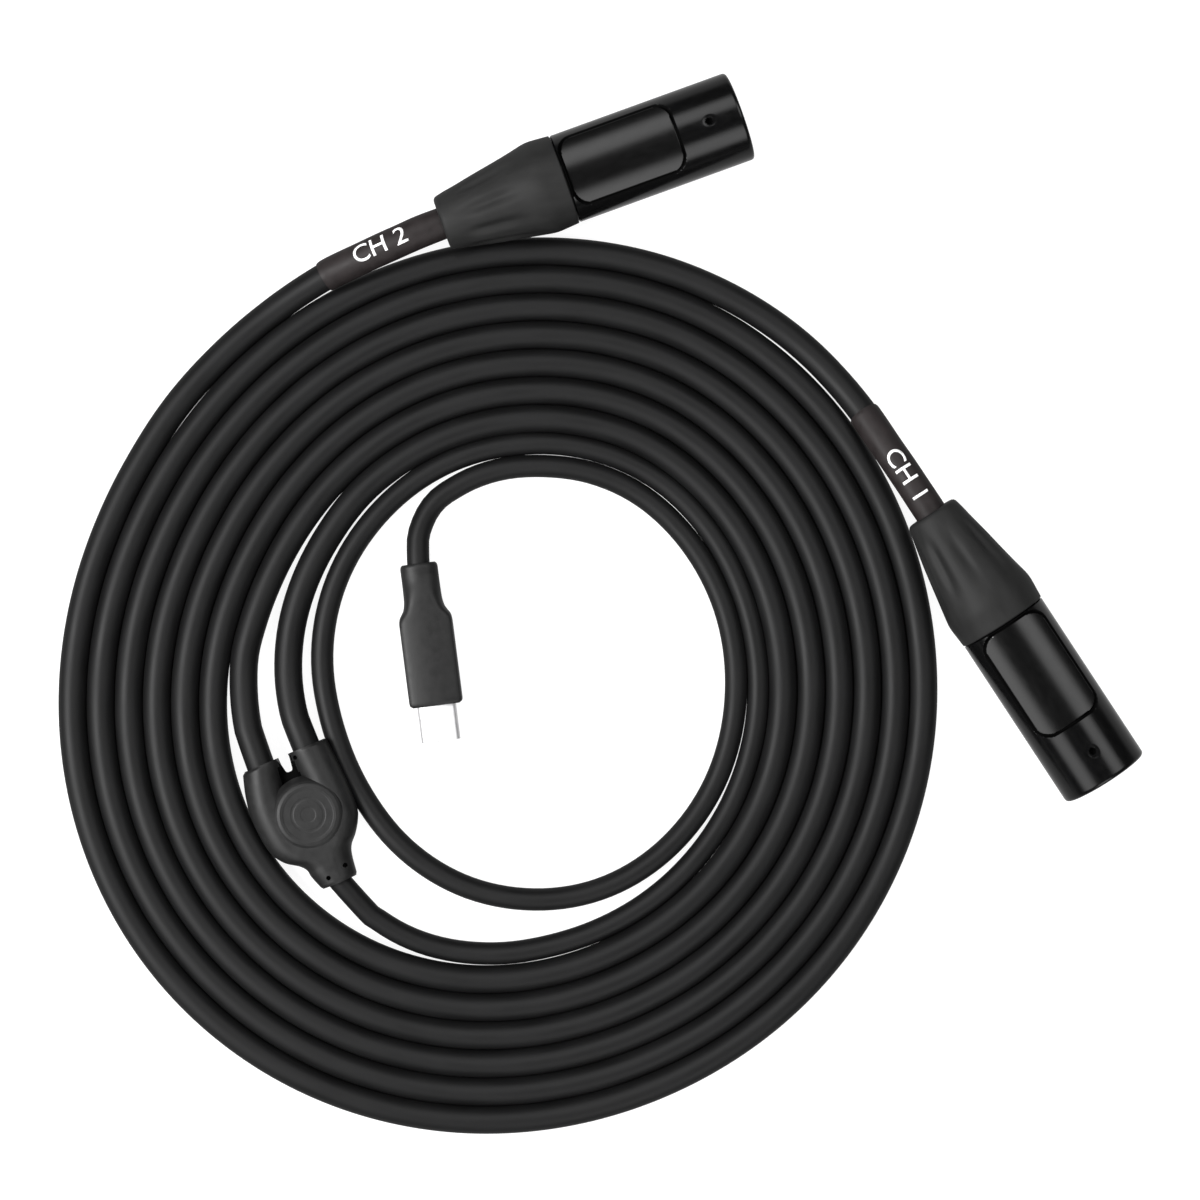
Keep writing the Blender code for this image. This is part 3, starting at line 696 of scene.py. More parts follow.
def lead_route(side, root_rows, start_radius, joins, leaves, end_rows):
    """From inside the splitter, round the coil and into the connector."""
    outlet = SPLITTER_MIDLINE + (OUTLET_OFFSET if side == "right" else -OUTLET_OFFSET)
    start = [SPLITTER @ Vector((x, outlet, 0.0)) for x in (SPLITTER_FRONT - SPLITTER_ENTRY, SPLITTER_FRONT)]
    turns = turns_of(start_radius, joins, leaves)
    laid = round_the_coil(root_rows + turns + turned_back(end_rows, 360 * FULL_TURNS))

    # Behind the connector, in its own frame in millimetres, the lead levels out on the axis
    aside = 0.75 if side == "right" else 0.0
    levelling = ((-44.0, -aside, -1.7), (-37.0, -aside / 2, -0.3), (-30.0, 0.0, 0.0), (-15.0, 0.0, 0.0))
    into = [Vector(point) * MM for point in levelling] + [Vector((LEAD_IN_CONNECTOR, 0.0, 0.0))]
    return spaced(start + laid + [PLACES[side] @ point for point in into], RING_SPACING)


def right_route():
    root = [(189.0, 53.3, 4.3), (180.0, 53.7, 3.4), (172.0, 54.0, 3.0)]
    end = [
        (138.0, 90.7, LEAD_LIES_AT),
        (130.0, 91.6, 3.0),
        (122.5, 92.7, 3.4),
        (116.5, 93.7, 4.6),
        (111.5, 94.6, 6.1),
    ]
    return lead_route("right", root, RIGHT_START_RADIUS, joins=-5.0, leaves=1094.0, end_rows=end)


def left_route():
    root = [
        (188.0, 43.2, 4.2),
        (178.0, 44.2, 3.3),
        (165.0, 45.4, LEAD_LIES_AT),
        (150.0, 46.9, LEAD_LIES_AT),
        (137.0, 48.6, LEAD_LIES_AT),
    ]
    end = [
        (57.0, 96.65, LEAD_LIES_AT),
        (49.0, 97.05, 3.2),
        (42.0, 96.9, 4.4),
        (37.0, 96.7, 5.9),
    ]
    return lead_route("left", root, LEFT_START_RADIUS, joins=36.0, leaves=1174.0, end_rows=end)


def usb_route():
    """From the splitter's single outlet, inside the coil, into the plug's strain relief.

    The rows start at the plug, and the finished route is turned round.
    """
    low = USB_LEAD_LIES_AT
    rows = [
        (117.5, 36.6, 2.7),
        (112.2, 40.1, low),
        (107.5, 42.3, low),
        (102.0, 43.8, low),
        (96.0, 45.3, low),
        (88.0, 46.9, low),
        (78.0, 48.4, low),
        (65.0, 50.2, low),
        (50.0, 51.2, low),
        (25.0, 51.1, low),
        (0.0, 50.4, low),
        (-30.0, 49.7, low),
        (-60.0, 47.7, low),
        (-90.0, 43.6, low),
        (-118.0, 39.3, low),
        (-138.0, 36.7, low),
        (-155.0, 35.7, low),
        (-170.0, 35.9, low),
        (-185.0, 37.2, low),
        (-205.0, 39.8, low),
        (-230.0, 43.95, low),
        (-255.0, 48.8, low),
        (-272.0, 51.75, low),
        (-290.0, 54.45, low),
        (-305.0, 55.85, low),
        (-320.0, 56.1, low),
        (-350.0, 55.3, low),
        (-385.0, 55.0, low),
        (-410.0, 55.0, low),
        (-435.0, 55.2, low),
        (-450.0, 55.8, low),
        (-462.0, 56.0, low),
        (-471.0, 55.6, 2.6),
        (-480.0, 54.5, 3.3),
    ]
    plug_end = [USB @ Vector((x, 0.0, 0.0)) for x in (USB_ENTRY, 0.0)]
    entry = (SPLITTER_BACK + 1.6 * MM, SPLITTER_BACK + SPLITTER_ENTRY)
    splitter_end = [SPLITTER @ Vector((x, USB_OUTLET_OFFSET, 0.0)) for x in entry]
    return spaced(plug_end + round_the_coil(rows) + splitter_end, RING_SPACING)[::-1]


def make_lead(name, route, radius, nodes):
    lead = add_piece(name, tube(name, route, radius), "jacket")
    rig.replaces(lead, *nodes)
    return lead


def declare_lead(lead, route, radius, far_end, pieces):
    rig.cord(
        lead,
        exit=route[0],
        length=route_length(route),
        diameter=2 * radius,
        far_end=far_end,
        stiffness="medium",
        lay="coiled",
        path=route,
        with_pieces=pieces,
    )


# Splitter


def smooth_max(a, b, width):
    """The larger of two heights, with the crease between them filled in."""
    share = max(width - abs(a - b), 0.0) / width
    return max(a, b) + share * share * width / 4


def splitter_height(u, v, left, right):
    """Half the splitter's thickness at a place: a pillow at the back, two round lobes at the outlets."""
    full = value_at(((SPLITTER_BACK, 3.9 * MM), (-6 * MM, 4.15 * MM), (SPLITTER_FRONT, 4.3 * MM)), u)
    from_edge = min(left - v, v - right, full)
    pillow = math.sqrt(max(full**2 - (full - from_edge) ** 2, 0.0))
    valley = smooth_step((u + 1 * MM) / (9 * MM))
    if valley == 0:
        return pillow
    lobes = [math.sqrt(max(full**2 - (v - middle) ** 2, 0.0)) for middle in (left - full, right + full)]
    return pillow + (smooth_max(*lobes, 0.8 * MM) - pillow) * valley


def splitter_body_mesh():
    left_edge = (
        (SPLITTER_BACK, 3.8 * MM),
        (-12.0 * MM, 4.9 * MM),
        (-10.4 * MM, 5.2 * MM),
        (-9.0 * MM, 6.3 * MM),
        (-6.7 * MM, 9.3 * MM),
        (-3.0 * MM, 11.2 * MM),
        (4.0 * MM, 11.8 * MM),
        (9.0 * MM, 11.1 * MM),
        (SPLITTER_FRONT, 9.7 * MM),
    )
    right_edge = (
        (SPLITTER_BACK, -4.2 * MM),
        (-11.0 * MM, -4.8 * MM),
        (-8.9 * MM, -5.6 * MM),
        (-7.0 * MM, -7.3 * MM),
        (-4.5 * MM, -8.9 * MM),
        (-2.0 * MM, -9.7 * MM),
        (4.0 * MM, -9.9 * MM),
        (SPLITTER_FRONT, -9.4 * MM),
    )
    length = SPLITTER_FRONT - SPLITTER_BACK
    row_spacing = 0.2 * MM
    steps = round(length / row_spacing)
    across = 80
    rings = []
    for i in range(steps + 1):
        u = SPLITTER_BACK + length * i / steps
        shrink = 1.0 - 0.05 * (1 - smooth_step(min(i, steps - i) / 3))
        left, right = outline_at(left_edge, u) * shrink, outline_at(right_edge, u) * shrink
        top, under = [], []
        for k in range(across + 1):
            v = (left + right) / 2 + (left - right) / 2 * math.cos(math.pi * k / across)
            height = splitter_height(u, v, left, right) * shrink
            top.append((u, v, height))
            under.append((u, v, -height))
        rings.append(top + under[-2:0:-1])
    return skin("splitter_housing", rings)


def make_splitter_housing():
    """The moulded housing, with a notch between its outlets and three small pits in its top."""
    body = add_piece("splitter_housing", splitter_body_mesh(), "rubber", SPLITTER)
    middle = SPLITTER_MIDLINE
    clear = 8 * MM

    # Faces round the notch take the darker recess finish: painted shade in the narrow valley between the outlets.
    def by_notch_painted_shade(at):
        return at.x > 6.9 * MM and abs(at.y - middle) < 2.3 * MM and at.z < 1.9 * MM

    finish_faces(body.data, "recess_painted_shade", by_notch_painted_shade)
    notch = filleted(
        (
            (SPLITTER_FRONT + 2 * MM, 1.9 * MM, 0),
            (10.3 * MM, 0.75 * MM, 0.5 * MM),
            (10.3 * MM, -0.65 * MM, 0.5 * MM),
            (SPLITTER_FRONT + 2 * MM, -1.5 * MM, 0),
        )
    )
    notch_rings = [[(point.x, point.y + middle, z) for point in notch] for z in (-clear, clear)]
    cutters = [skin("notch", notch_rings)]
    pit_radius, pit_floor = 0.5 * MM, 1.2 * MM
    ring = [(pit_radius * math.cos(a), pit_radius * math.sin(a)) for a in round_angles(20)]
    for u, v in SPLITTER_PITS:
        cutters.append(skin("pit", [[(u + x, v + y, z) for x, y in ring] for z in (pit_floor, clear)]))
    carved(body, cutters)
    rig.replaces(body, "splitter_body")


def make_splitter_badge():
    """The round badge, a raised disc with plain rings."""
    profile = filleted(
        (
            (2.6 * MM, 0.0, 0),
            (2.6 * MM, 8.2 * MM, 0),
            (4.0 * MM, 7.3 * MM, 0.8 * MM),
            (4.66 * MM, 6.3 * MM, 0.9 * MM),
            (4.62 * MM, 5.6 * MM, 0.3 * MM),
            (4.5 * MM, 5.3 * MM, 0.2 * MM),
            (4.53 * MM, 3.8 * MM, 0.08 * MM),
            (4.48 * MM, 3.6 * MM, 0.08 * MM),
            (4.48 * MM, 3.2 * MM, 0.08 * MM),
            (4.53 * MM, 3.0 * MM, 0.08 * MM),
            (4.54 * MM, 1.7 * MM, 0.08 * MM),
            (4.49 * MM, 1.5 * MM, 0.08 * MM),
            (4.49 * MM, 0.0, 0),
        )
    )
    disc = turned("splitter_badge", profile, 96)
    disc.transform(Matrix.Translation((0.5 * MM, 0.0, 0.0)) @ Matrix.Rotation(math.radians(-90), 4, "Y"))
    add_piece("splitter_badge", disc, "rubber", SPLITTER, sharp=60)


# USB-C plug


def usb_ring(x, width, height, sideways, count=88):
    """Points round an oval of this half width and height, cut off by a slight crown and at the sides."""
    crown_radius, crown = 24 * MM, 3.32 * MM
    sink = crown_radius - crown
    sharpness = 14.0
    ring = []
    for angle in round_angles(count):
        across, upward = math.sin(angle), abs(math.cos(angle))
        oval = 1 / math.hypot(across / width, upward / height)
        lid = math.sqrt(crown_radius**2 - (sink * across) ** 2) - sink * upward
        limits = [oval, lid]
        if abs(across) > 0.01:
            limits.append(sideways / abs(across))
        radius = sum((limit / oval) ** -sharpness for limit in limits) ** (-1 / sharpness) * oval
        ring.append((x, radius * math.sin(angle), radius * math.cos(angle)))
    return ring


def make_usb_housing():
    """The grip and the strain relief, which are one moulding."""
    sideways = 5.62 * MM
    width = (
        (0.0, 4.0 * MM),
        (5.0 * MM, 4.0 * MM),
        (8.6 * MM, 4.2 * MM),
        (10.6 * MM, 5.2 * MM),
        (13.4 * MM, 8.4 * MM),
    )
    height = ((0.0, 3.1 * MM), (4.5 * MM, 3.1 * MM), (13.5 * MM, 6.4 * MM))
    steps, rounded_steps = 84, 3
    rings = []
    for i in range(steps + 1):
        x = USB_HOUSING_LENGTH * i / steps
        from_end = min(i, steps - i, rounded_steps) / rounded_steps
        shrink = 1.0 - 0.12 * (1 - math.sqrt(1 - (1 - from_end) ** 2))
        ring = usb_ring(x, outline_at(width, x), outline_at(height, x), sideways)
        rings.append([(x, y * shrink, z * shrink) for _, y, z in ring])
    housing = add_piece("usb_plug_body", skin("usb_plug_body", rings), "rubber", USB)
    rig.replaces(housing, "usb_housing")
    return housing


def usb_shell_ring(x, inset):
    """A slot-shaped ring across the metal shell, this far inside its outer face."""
    half, straight = 1.2 * MM - inset, 2.925 * MM
    return [
        (x, math.copysign(straight, math.sin(a + 1e-6)) + half * math.sin(a), half * math.cos(a))
        for a in round_angles(48)
    ]


def make_usb_shell():
    outline = filleted(
        (
            (USB_SHELL_BACK, 0.0, 0),
            (USB_TIP, 0.0, 0.15 * MM),
            (USB_TIP, USB_SHELL_WALL, 0.12 * MM),
            (USB_SHELL_BACK, USB_SHELL_WALL, 0),
        ),
        steps=3,
    )
    mesh = skin("usb_plug_shell", [usb_shell_ring(x, inset) for x, inset in outline], loop=True)
    metal = add_piece("usb_plug_shell", mesh, "usb_metal", USB)
    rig.replaces(metal, "usb_shell")
    return metal


def make_usb_contacts():
    """Two rows of twelve contacts on the tongue inside the shell."""
    contacts = bmesh.new()
    size = Matrix.Diagonal((5.0 * MM, 0.25 * MM, 0.1 * MM, 1.0))
    spacing = 0.5 * MM
    for level in (0.36 * MM, -0.36 * MM):
        for i in range(12):
            place = Matrix.Translation((USB_TIP - 3.6 * MM, (i - 5.5) * spacing, level))
            bmesh.ops.create_cube(contacts, size=1.0, matrix=place @ size)
    strips = bpy.data.meshes.new("usb_contacts")
    contacts.to_mesh(strips)
    contacts.free()
    fingers = add_piece("usb_contacts", strips, "pin", USB)
    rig.slot(fingers, "pin")
    return fingers


def make_usb_plug():
    return [make_usb_housing(), make_usb_shell(), make_usb_contacts()]


# XLR connectors


def inside_panel(x, angle):
    """How far inside the panel's rounded outline a place is. It is negative outside."""
    dx = abs(x - PANEL_CENTRE) - (PANEL_HALF_LENGTH - PANEL_CORNER)
    dy = abs(SHELL_RADIUS * math.sin(angle)) - (PANEL_HALF_WIDTH - PANEL_CORNER)
    return PANEL_CORNER - min(max(dx, dy), 0.0) - math.hypot(max(dx, 0.0), max(dy, 0.0))


def from_latch(x, angle):
    """(along, across) from the latch's mark on top of the shell, in millimetres."""
    if math.cos(angle) < 0:
        return 100.0, 100.0
    return (x - LATCH_AT) / MM, SHELL_RADIUS / MM * math.sin(angle)


def shell_radius(x, angle):
    """The shell's outside, with a crowned panel let into it above and below, and the latch's mark."""
    radius = SHELL_RADIUS
    inside = inside_panel(x, angle)
    if inside > 0:
        sink = PANEL_CROWN_RADIUS - PANEL_CROWN
        level = math.sqrt(PANEL_CROWN_RADIUS**2 - (sink * math.sin(angle)) ** 2)
        panel = level - sink * abs(math.cos(angle))
        bottom = max(SHELL_INSIDE, min(panel, radius) - GROOVE_DEPTH)
        radius += (bottom - radius) * smooth_step(inside / PANEL_EDGE)
        radius += (panel - radius) * smooth_step((inside - GROOVE) / PANEL_EDGE)
    along, across = from_latch(x, angle)
    radius -= DENT_DEPTH * smooth_step((1.0 - math.hypot(along / DENT[0], across / DENT[1])) / 0.4)
    hole = smooth_step((1.0 - math.hypot(along + HOLE_BEHIND, across) / HOLE_RADIUS) / 0.3)
    return radius + (SHELL_INSIDE - radius) * hole


def on_outside(centre):
    """Whether a face's middle is on the shell's outside and not in its bore."""
    return centre.yz.length > SHELL_BORE + 0.01 * MM


def in_panel(centre):
    """Whether a place on the shell's outside is in a panel or the groove round it."""
    return on_outside(centre) and inside_panel(centre.x, math.atan2(centre.y, centre.z)) > 0


def in_recess_painted_shade(centre):
    """Whether a place on the shell's outside is in the groove round a panel or in the latch's hole, which take the
    darker recess finish as painted shade.
    """
    angle = math.atan2(centre.y, centre.z)
    along, across = from_latch(centre.x, angle)
    in_groove = 0 < inside_panel(centre.x, angle) < GROOVE + 0.1 * MM
    in_hole = math.hypot(along + HOLE_BEHIND, across) < HOLE_RADIUS - 0.05
    return on_outside(centre) and (in_groove or in_hole)


def shell_rows():
    """x places along the shell's outside, close together at the panels' ends and the latch's mark."""
    fine, coarse = 0.14 * MM, 0.8 * MM
    rows, x = [], 0.45 * MM
    while x < SHELL_LENGTH - 1.0 * MM:
        rows.append(x)
        near = x < 4.8 * MM or 21.0 * MM < x < 25.6 * MM or 30.1 * MM < x < 33.9 * MM
        x += fine if near else coarse
    return rows


def shell_angles():
    """Angles round the shell, close together at the panels' edges and the latch's mark."""
    fine, coarse = 0.9, 3.0
    quarter = []
    degrees = 0.0
    while degrees < 89.0:
        quarter.append(degrees)
        degrees += fine if degrees < 11.0 or 23.0 < degrees < 54.0 else coarse
    half = quarter + [90.0] + [180.0 - d for d in reversed(quarter) if d > 0]
    whole = half + [180.0 + d for d in half]
    return [math.radians(d) for d in whole if d < 360.0]


def make_shell(side):
    angles = shell_angles()
    rings = [ring_about_x(0.0, SHELL_BORE, angles), ring_about_x(0.0, SHELL_RADIUS - 0.25 * MM, angles)]
    rings.append(ring_about_x(0.22 * MM, SHELL_RADIUS, angles))
    for x in shell_rows():
        rings.append(ring_about_x(x, lambda angle, x=x: shell_radius(x, angle), angles))
    lip = filleted(
        (
            (SHELL_LENGTH - 0.95 * MM, SHELL_RADIUS, 0),
            (SHELL_LENGTH, SHELL_RADIUS, 0.85 * MM),
            (SHELL_LENGTH, SHELL_BORE, 0.25 * MM),
            (SHELL_LENGTH - 2 * MM, SHELL_BORE, 0),
        ),
        steps=6,
    )
    rings += [ring_about_x(x, radius, angles) for x, radius in lip]
    mesh = skin(side + "_shell_body", rings, loop=True)
    shell = add_piece(side + "_shell_body", mesh, "shell", PLACES[side])
    finish_faces(shell.data, "panel", in_panel)
    # The grooves round the panels and the latch's hole take a darker, rougher finish: painted shade.
    finish_faces(shell.data, "recess_painted_shade", in_recess_painted_shade)
    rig.replaces(shell, side + "_shell")
    return shell


def boot_radius(x, radius, angle):
    """The boot's outside, with shallow flutes that fade towards both ends."""
    along = smooth_step((x + 25.0 * MM) / (7 * MM)) * smooth_step((-6.0 * MM - x) / (9 * MM))
    flutes, depth = 9, 0.7 * MM
    flute = 0.5 + 0.5 * math.cos(flutes * angle)
    return radius - depth * along * flute**2


def make_boot(side):
    outline = filleted(
        (
            (-12.0 * MM, 3.85 * MM, 0),
            (-27.4 * MM, 3.85 * MM, 0.3 * MM),
            (-27.4 * MM, 5.65 * MM, 1.0 * MM),
            (-18.4 * MM, 7.6 * MM, 1.2 * MM),
            (-5.1 * MM, 9.98 * MM, 1.3 * MM),
            (-0.15 * MM, 9.6 * MM, 0.25 * MM),
            (-0.15 * MM, SHELL_BORE, 0),
            (-3.0 * MM, SHELL_BORE, 0),
            (-12.0 * MM, 6.9 * MM, 0),
        )
    )
    angles = round_angles(160)
    rings = []
    for x, radius in finer(outline, 0.7 * MM):
        if radius > 5.6 * MM and x < -0.2 * MM:
            rings.append(ring_about_x(x, lambda angle, x=x, r=radius: boot_radius(x, r, angle), angles))
        else:
            rings.append(ring_about_x(x, radius, angles))
    mesh = skin(side + "_boot_skin", rings, loop=True)
    boot = add_piece(side + "_boot_skin", mesh, "boot", PLACES[side], side + "_screw_boot")
    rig.replaces(boot, side + "_boot")
    return boot


def make_collar(side):
    """The ring that screws into the shell, with a real right-hand thread."""
    pitch, depth, top = 1.4 * MM, 0.42 * MM, SHELL_BORE - 0.33 * MM
    back, start, front, bore = -5.7 * MM, -1.4 * MM, 4.2 * MM, 6.9 * MM
    chamfer = 0.3 * MM

    def thread(x, angle):
        phase = (x / pitch + angle / (2 * math.pi)) % 1.0
        ridge = smooth_step((0.5 - abs(phase - 0.5)) / 0.32)
        ends = smooth_step((x + 1.2 * MM) / (0.8 * MM)) * smooth_step((front - x) / (0.6 * MM))
        return top - depth * (1 - ridge) * ends

    angles = round_angles(96)
    rings = [ring_about_x(back, bore, angles), ring_about_x(back, top, angles)]
    steps = 56
    for i in range(steps + 1):
        x = start + (front - start) * i / steps
        cut = chamfer if i == steps else 0.0
        rings.append(ring_about_x(x, lambda angle, x=x, cut=cut: thread(x, angle) - cut, angles))
    rings.append(ring_about_x(front, bore, angles))
    mesh = skin(side + "_thread_ring", rings, loop=True)
    collar = add_piece(side + "_thread_ring", mesh, "plastic", PLACES[side], side + "_screw_boot")
    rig.replaces(collar, side + "_collar")
    return collar


def make_carrier(side):
    """The contact carrier, with a raised rim."""
    back, face, edge = 8.0 * MM, INSERT_FRONT, 7.9 * MM
    profile = filleted(
        (
            (back, 0.0, 0),
            (back, edge, 0.2 * MM),
            (face, edge, 0.25 * MM),
            (face, edge - 1.1 * MM, 0.15 * MM),
            (face - 0.5 * MM, edge - 1.3 * MM, 0.15 * MM),
            (face - 0.5 * MM, 0.0, 0),
        )
    )
    mesh = turned(side + "_contact_carrier", profile, 96)
    carrier = add_piece(side + "_contact_carrier", mesh, "plastic", PLACES[side])
    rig.replaces(carrier, side + "_insert")
    return carrier


def contact_profile():
    """A contact: a solder cup at the back and a pin with a rounded nose."""
    return filleted(
        (
            (5.5 * MM, 0.0, 0),
            (5.5 * MM, 0.95 * MM, 0.15 * MM),
            (8.0 * MM, 0.95 * MM, 0.1 * MM),
            (8.3 * MM, 1.2 * MM, 0.1 * MM),
            (36.6 * MM, 1.2 * MM, 0.5 * MM),
            (37.5 * MM, 0.45 * MM, 0.3 * MM),
            (37.5 * MM, 0.0, 0),
        )
    )


def boss_profile():
    """The round boss at a contact's foot, with a well round the contact."""
    face = INSERT_FRONT
    return filleted(
        (
            (face - 1.0 * MM, 0.0, 0),
            (face - 1.0 * MM, 2.1 * MM, 0),
            (face - 0.1 * MM, 2.1 * MM, 0.2 * MM),
            (face - 0.1 * MM, 1.35 * MM, 0.1 * MM),
            (face - 0.6 * MM, 1.35 * MM, 0),
            (face - 0.6 * MM, 0.0, 0),
        )
    )


def make_contacts(side):
    """The three contacts, each with its boss. Number 3 is underneath, between the other two."""
    contact, boss = contact_profile(), boss_profile()
    pieces = []
    for number, degrees in enumerate((0.0, 180.0, 270.0), start=1):
        turn = math.radians(degrees)
        across, upward = PIN_CIRCLE_RADIUS * math.cos(turn), PIN_CIRCLE_RADIUS * math.sin(turn)
        made = []
        for part, profile, finish in (("contact", contact, "pin"), ("boss", boss, "plastic")):
            mesh = turned(f"{side}_{part}_{number}", profile, 32)
            mesh.transform(Matrix.Translation((0.0, across, upward)))
            made.append(add_piece(f"{side}_{part}_{number}", mesh, finish, PLACES[side]))
        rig.replaces(made[0], f"{side}_pin_{number}")
        pieces += made
    return pieces


def make_sleeve(side, route):
    """The shrink sleeve behind the boot, and the mark printed on it."""
    nearest, farthest = SLEEVE_FROM_END[side]
    last = len(route) - 1 - round(nearest / RING_SPACING)
    first = len(route) - 1 - round(farthest / RING_SPACING)
    stretch = spaced(route[first : last + 1], 0.5 * MM)
    length = route_length(stretch)

    def radius(distance):
        """Drawn in at both cut ends, with slight waves where it shrank."""
        from_end = min(distance, length - distance)
        wave = 0.03 * MM * math.sin(distance / (2.1 * MM)) * math.sin(distance / (5.3 * MM))
        drawn_in = 0.16 * MM * (1 - smooth_step(from_end / (0.7 * MM)))
        return SLEEVE_RADIUS + wave - drawn_in

    mesh = tube(side + "_shrink_sleeve", stretch, radius, count=48, bore=LEAD_RADIUS + 0.03 * MM)
    sleeve = add_piece(side + "_shrink_sleeve", mesh, "sleeve")
    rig.replaces(sleeve, side + "_sleeve")
    return [sleeve, make_mark(side, stretch)]


def text_mesh(name, text):
    """Flat letters, cut into small faces so that they can follow a curve."""
    words = bpy.data.curves.new(name, "FONT")
    words.body = text
    words.size = 5.4 * MM
    words.offset = 0.025 * MM
    words.align_y = "CENTER"
    source = bpy.data.objects.new(name + "_source", words)
    bpy.context.collection.objects.link(source)
    flat = evaluated_mesh(source)
    bpy.data.objects.remove(source, do_unlink=True)
    shape = bmesh.new()
    shape.from_mesh(flat)
    bpy.data.meshes.remove(flat)
    together = 0.001 * MM
    bmesh.ops.remove_doubles(shape, verts=shape.verts, dist=together)
    level_cuts = [(0.0, 0.25 * i * MM, 0.0) for i in range(-12, 13)]
    upright_cuts = [(i * MM, 0.0, 0.0) for i in range(20)]
    for normal, cuts in (((0, 1, 0), level_cuts), ((1, 0, 0), upright_cuts)):
        for cut in cuts:
            everything = shape.verts[:] + shape.edges[:] + shape.faces[:]
            bmesh.ops.bisect_plane(shape, geom=everything, dist=together, plane_co=cut, plane_no=normal)
    return shape


def make_mark(side, stretch):
    """A generic channel number, laid round the sleeve as a thin film."""
    text, start, roll = {"right": ("CH 2", 8.4 * MM, -10.0), "left": ("CH 1", 10.6 * MM, 4.0)}[side]
    shape = text_mesh(side + "_mark", text)
    frames = route_frames(stretch)
    step = (stretch[1] - stretch[0]).length
    for vertex in shape.verts:
        along = (start + vertex.co.x) / step
        i = min(int(along), len(frames) - 2)
        point, _, down, aside = frames[i]
        centre = point.lerp(frames[i + 1][0], along - i)
        turn = math.pi + math.radians(roll) - vertex.co.y / SLEEVE_RADIUS
        outward = down * math.cos(turn) + aside * math.sin(turn)
        vertex.co = centre + outward * (SLEEVE_RADIUS + MARK_LIFT)
    mesh = bpy.data.meshes.new(side + "_channel_mark")
    shape.to_mesh(mesh)
    shape.free()
    mark = add_piece(side + "_channel_mark", mesh, "print")
    film = mark.modifiers.new("film", "SOLIDIFY")
    film.thickness = 0.05 * MM
    film.offset = 0.0
    return mark


def make_connector(side, route):
    pieces = [make_shell(side), make_boot(side), make_collar(side), make_carrier(side)]
    return pieces + make_contacts(side) + make_sleeve(side, route)


def finish_inner_nodes():
    """The CAD nodes that stay as they are, each with its own finish."""
    plain = {"splitter_core": "board", "usb_insulator": "plastic", "usb_board": "board", "usb_chip": "chip"}
    for side in ("right", "left"):
        plain[side + "_chuck"] = "plastic"
        for number in (1, 2, 3):
            plain[f"{side}_wire_{number}"] = "wire"
    for node, finish in plain.items():
        mesh = frame["nodes"][node].data
        mesh.materials.clear()
        mesh.materials.append(FINISHES[finish])


# Stage


def make_floor():
    """A pale sheet just under the cable."""
    size, level = 3.0, -0.05 * MM
    corners = [(-size, -size, level), (size, -size, level), (size, size, level), (-size, size, level)]
    mesh = bpy.data.meshes.new("floor")
    mesh.from_pydata(corners, [], [(0, 1, 2, 3)])
    floor = bpy.data.objects.new("floor", mesh)
    bpy.context.collection.objects.link(floor)
    dark, light = (0.2, 0.2, 0.2), (0.23, 0.23, 0.23)
    paper = surface("paper", dark, light, 40 * MM, (0.8, 0.9), Emission_Strength=0.9)
    paper.node_tree.nodes["Principled BSDF"].inputs["Emission Color"].default_value = (1.0, 1.0, 1.0, 1.0)
    mesh.materials.append(paper)
    floor.visible_glossy = False
    floor.visible_diffuse = False
    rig.stage(floor)


def soft_box(nodes, links, direction, azimuth, polar, full, none):
    """A socket that is 1 towards a soft box and fades to 0 away from it. All four angles are in degrees."""
    turn, tilt = math.radians(azimuth), math.radians(polar)
    along = nodes.new("ShaderNodeVectorMath")
    along.operation = "DOT_PRODUCT"
    middle = (math.cos(turn) * math.sin(tilt), math.sin(turn) * math.sin(tilt), math.cos(tilt))
    along.inputs[1].default_value = middle
    links.new(direction, along.inputs[0])
    glow = nodes.new("ShaderNodeMapRange")
    glow.interpolation_type = "SMOOTHSTEP"
    glow.inputs["From Min"].default_value = math.cos(math.radians(none))
    glow.inputs["From Max"].default_value = math.cos(math.radians(full))
    links.new(along.outputs["Value"], glow.inputs["Value"])
    return glow.outputs["Result"]


def calculated(nodes, links, operation, *terms):
    """The result of a maths node. A term is a socket or a number."""
    node = nodes.new("ShaderNodeMath")
    node.operation = operation
    for slot, term in zip(node.inputs, terms):
        if isinstance(term, float):
            slot.default_value = term
        else:
            links.new(term, slot)
    return node.outputs["Value"]


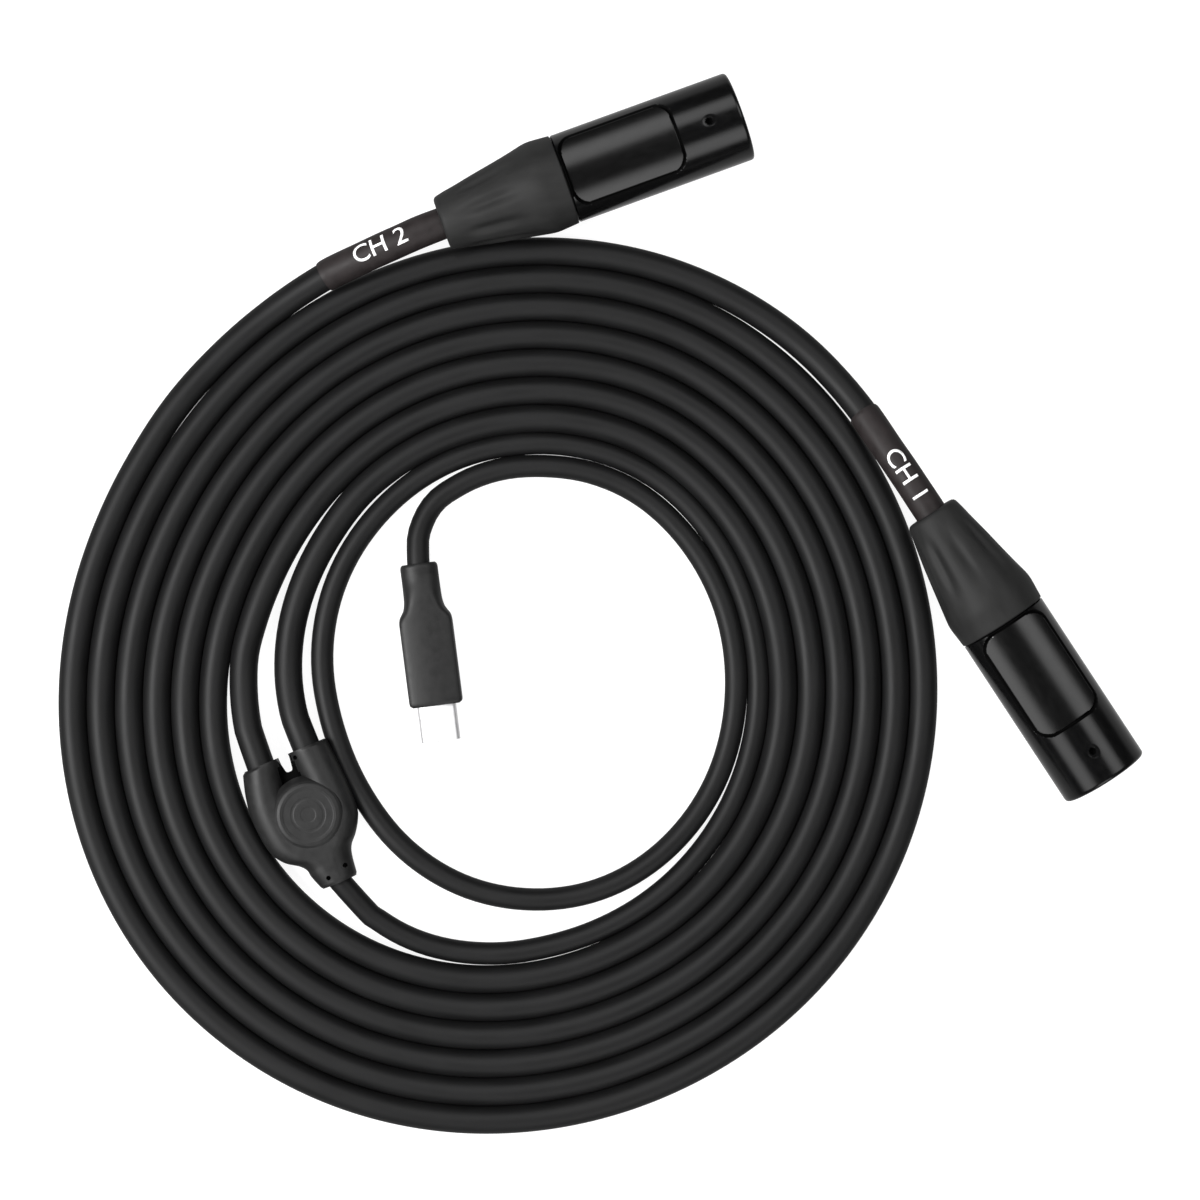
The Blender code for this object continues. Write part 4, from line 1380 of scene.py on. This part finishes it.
def make_world():
    """A dark room with soft boxes in front and behind, light from below, and a pale backdrop."""
    world = bpy.data.worlds.new("studio")
    bpy.context.scene.world = world
    world.use_nodes = True
    nodes, links = world.node_tree.nodes, world.node_tree.links
    direction = nodes.new("ShaderNodeTexCoord").outputs["Generated"]
    glows = [soft_box(nodes, links, direction, *box) for box in SOFT_BOXES]
    brightest = glows[0]
    for glow in glows[1:]:
        brightest = calculated(nodes, links, "MAXIMUM", brightest, glow)
    above = calculated(nodes, links, "MULTIPLY_ADD", brightest, SOFT_BOX_LEVEL, ROOM_LEVEL)
    height = nodes.new("ShaderNodeSeparateXYZ")
    links.new(direction, height.inputs["Vector"])
    below = nodes.new("ShaderNodeMapRange")
    below.inputs["From Min"].default_value = 0.05
    below.inputs["From Max"].default_value = -0.15
    below.inputs["To Max"].default_value = BELOW_LEVEL
    links.new(height.outputs["Z"], below.inputs["Value"])

    white = (1.0, 1.0, 1.0, 1.0)
    background = nodes["Background"]
    background.inputs["Color"].default_value = white
    everywhere = calculated(nodes, links, "ADD", above, below.outputs["Result"])
    links.new(everywhere, background.inputs["Strength"])
    pale = nodes.new("ShaderNodeBackground")
    pale.inputs["Color"].default_value = white
    pale.inputs["Strength"].default_value = 1.0
    path = nodes.new("ShaderNodeLightPath")
    mix = nodes.new("ShaderNodeMixShader")
    links.new(path.outputs["Is Camera Ray"], mix.inputs["Fac"])
    links.new(background.outputs["Background"], mix.inputs[1])
    links.new(pale.outputs["Background"], mix.inputs[2])
    links.new(mix.outputs["Shader"], nodes["World Output"].inputs["Surface"])


def make_key_light():
    """A round soft lamp to the left, about as high as the camera."""
    light = bpy.data.lights.new("key", "AREA")
    light.shape = "DISK"
    light.size = 0.36
    light.energy = 9.5
    key = bpy.data.objects.new("key", light)
    bpy.context.collection.objects.link(key)
    key.location = (-0.58, -0.05, 0.69)
    key.rotation_euler = (-key.location).to_track_quat("-Z", "Y").to_euler()


def make_camera():
    """Straight above the coil, as in a product shot."""
    data = bpy.data.cameras.new("camera")
    data.lens = 98.87
    data.sensor_width = 36.0
    camera = bpy.data.objects.new("camera", data)
    bpy.context.collection.objects.link(camera)
    camera.location = (0.0, 0.6 * MM, 0.7)
    bpy.context.scene.camera = camera


# The whole cable


def main():
    make_camera()
    routes = {"right": right_route(), "left": left_route(), "usb": usb_route()}
    right_nodes = ("right_lead_root", "lead_coil", "right_lead_end")
    leads = {
        "right": make_lead("right_lead", routes["right"], LEAD_RADIUS, right_nodes),
        "left": make_lead("left_lead", routes["left"], LEAD_RADIUS, ("left_lead_root", "left_lead_end")),
        "usb": make_lead("usb_cord", routes["usb"], USB_LEAD_RADIUS, ("usb_lead",)),
    }
    make_splitter_housing()
    make_splitter_badge()
    for side in ("right", "left"):
        pieces = make_connector(side, routes[side])
        declare_lead(leads[side], routes[side], LEAD_RADIUS, "connector", pieces)
    declare_lead(leads["usb"], routes["usb"], USB_LEAD_RADIUS, "plug", make_usb_plug())
    finish_inner_nodes()
    make_floor()
    make_world()
    make_key_light()
    bpy.context.scene.view_settings.view_transform = "Standard"


main()
low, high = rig.bounds()
sizes = {"cad": [list(cad_low), list(cad_high)], "visual": [list(low), list(high)]}
Path("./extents.json").write_text(json.dumps(sizes))
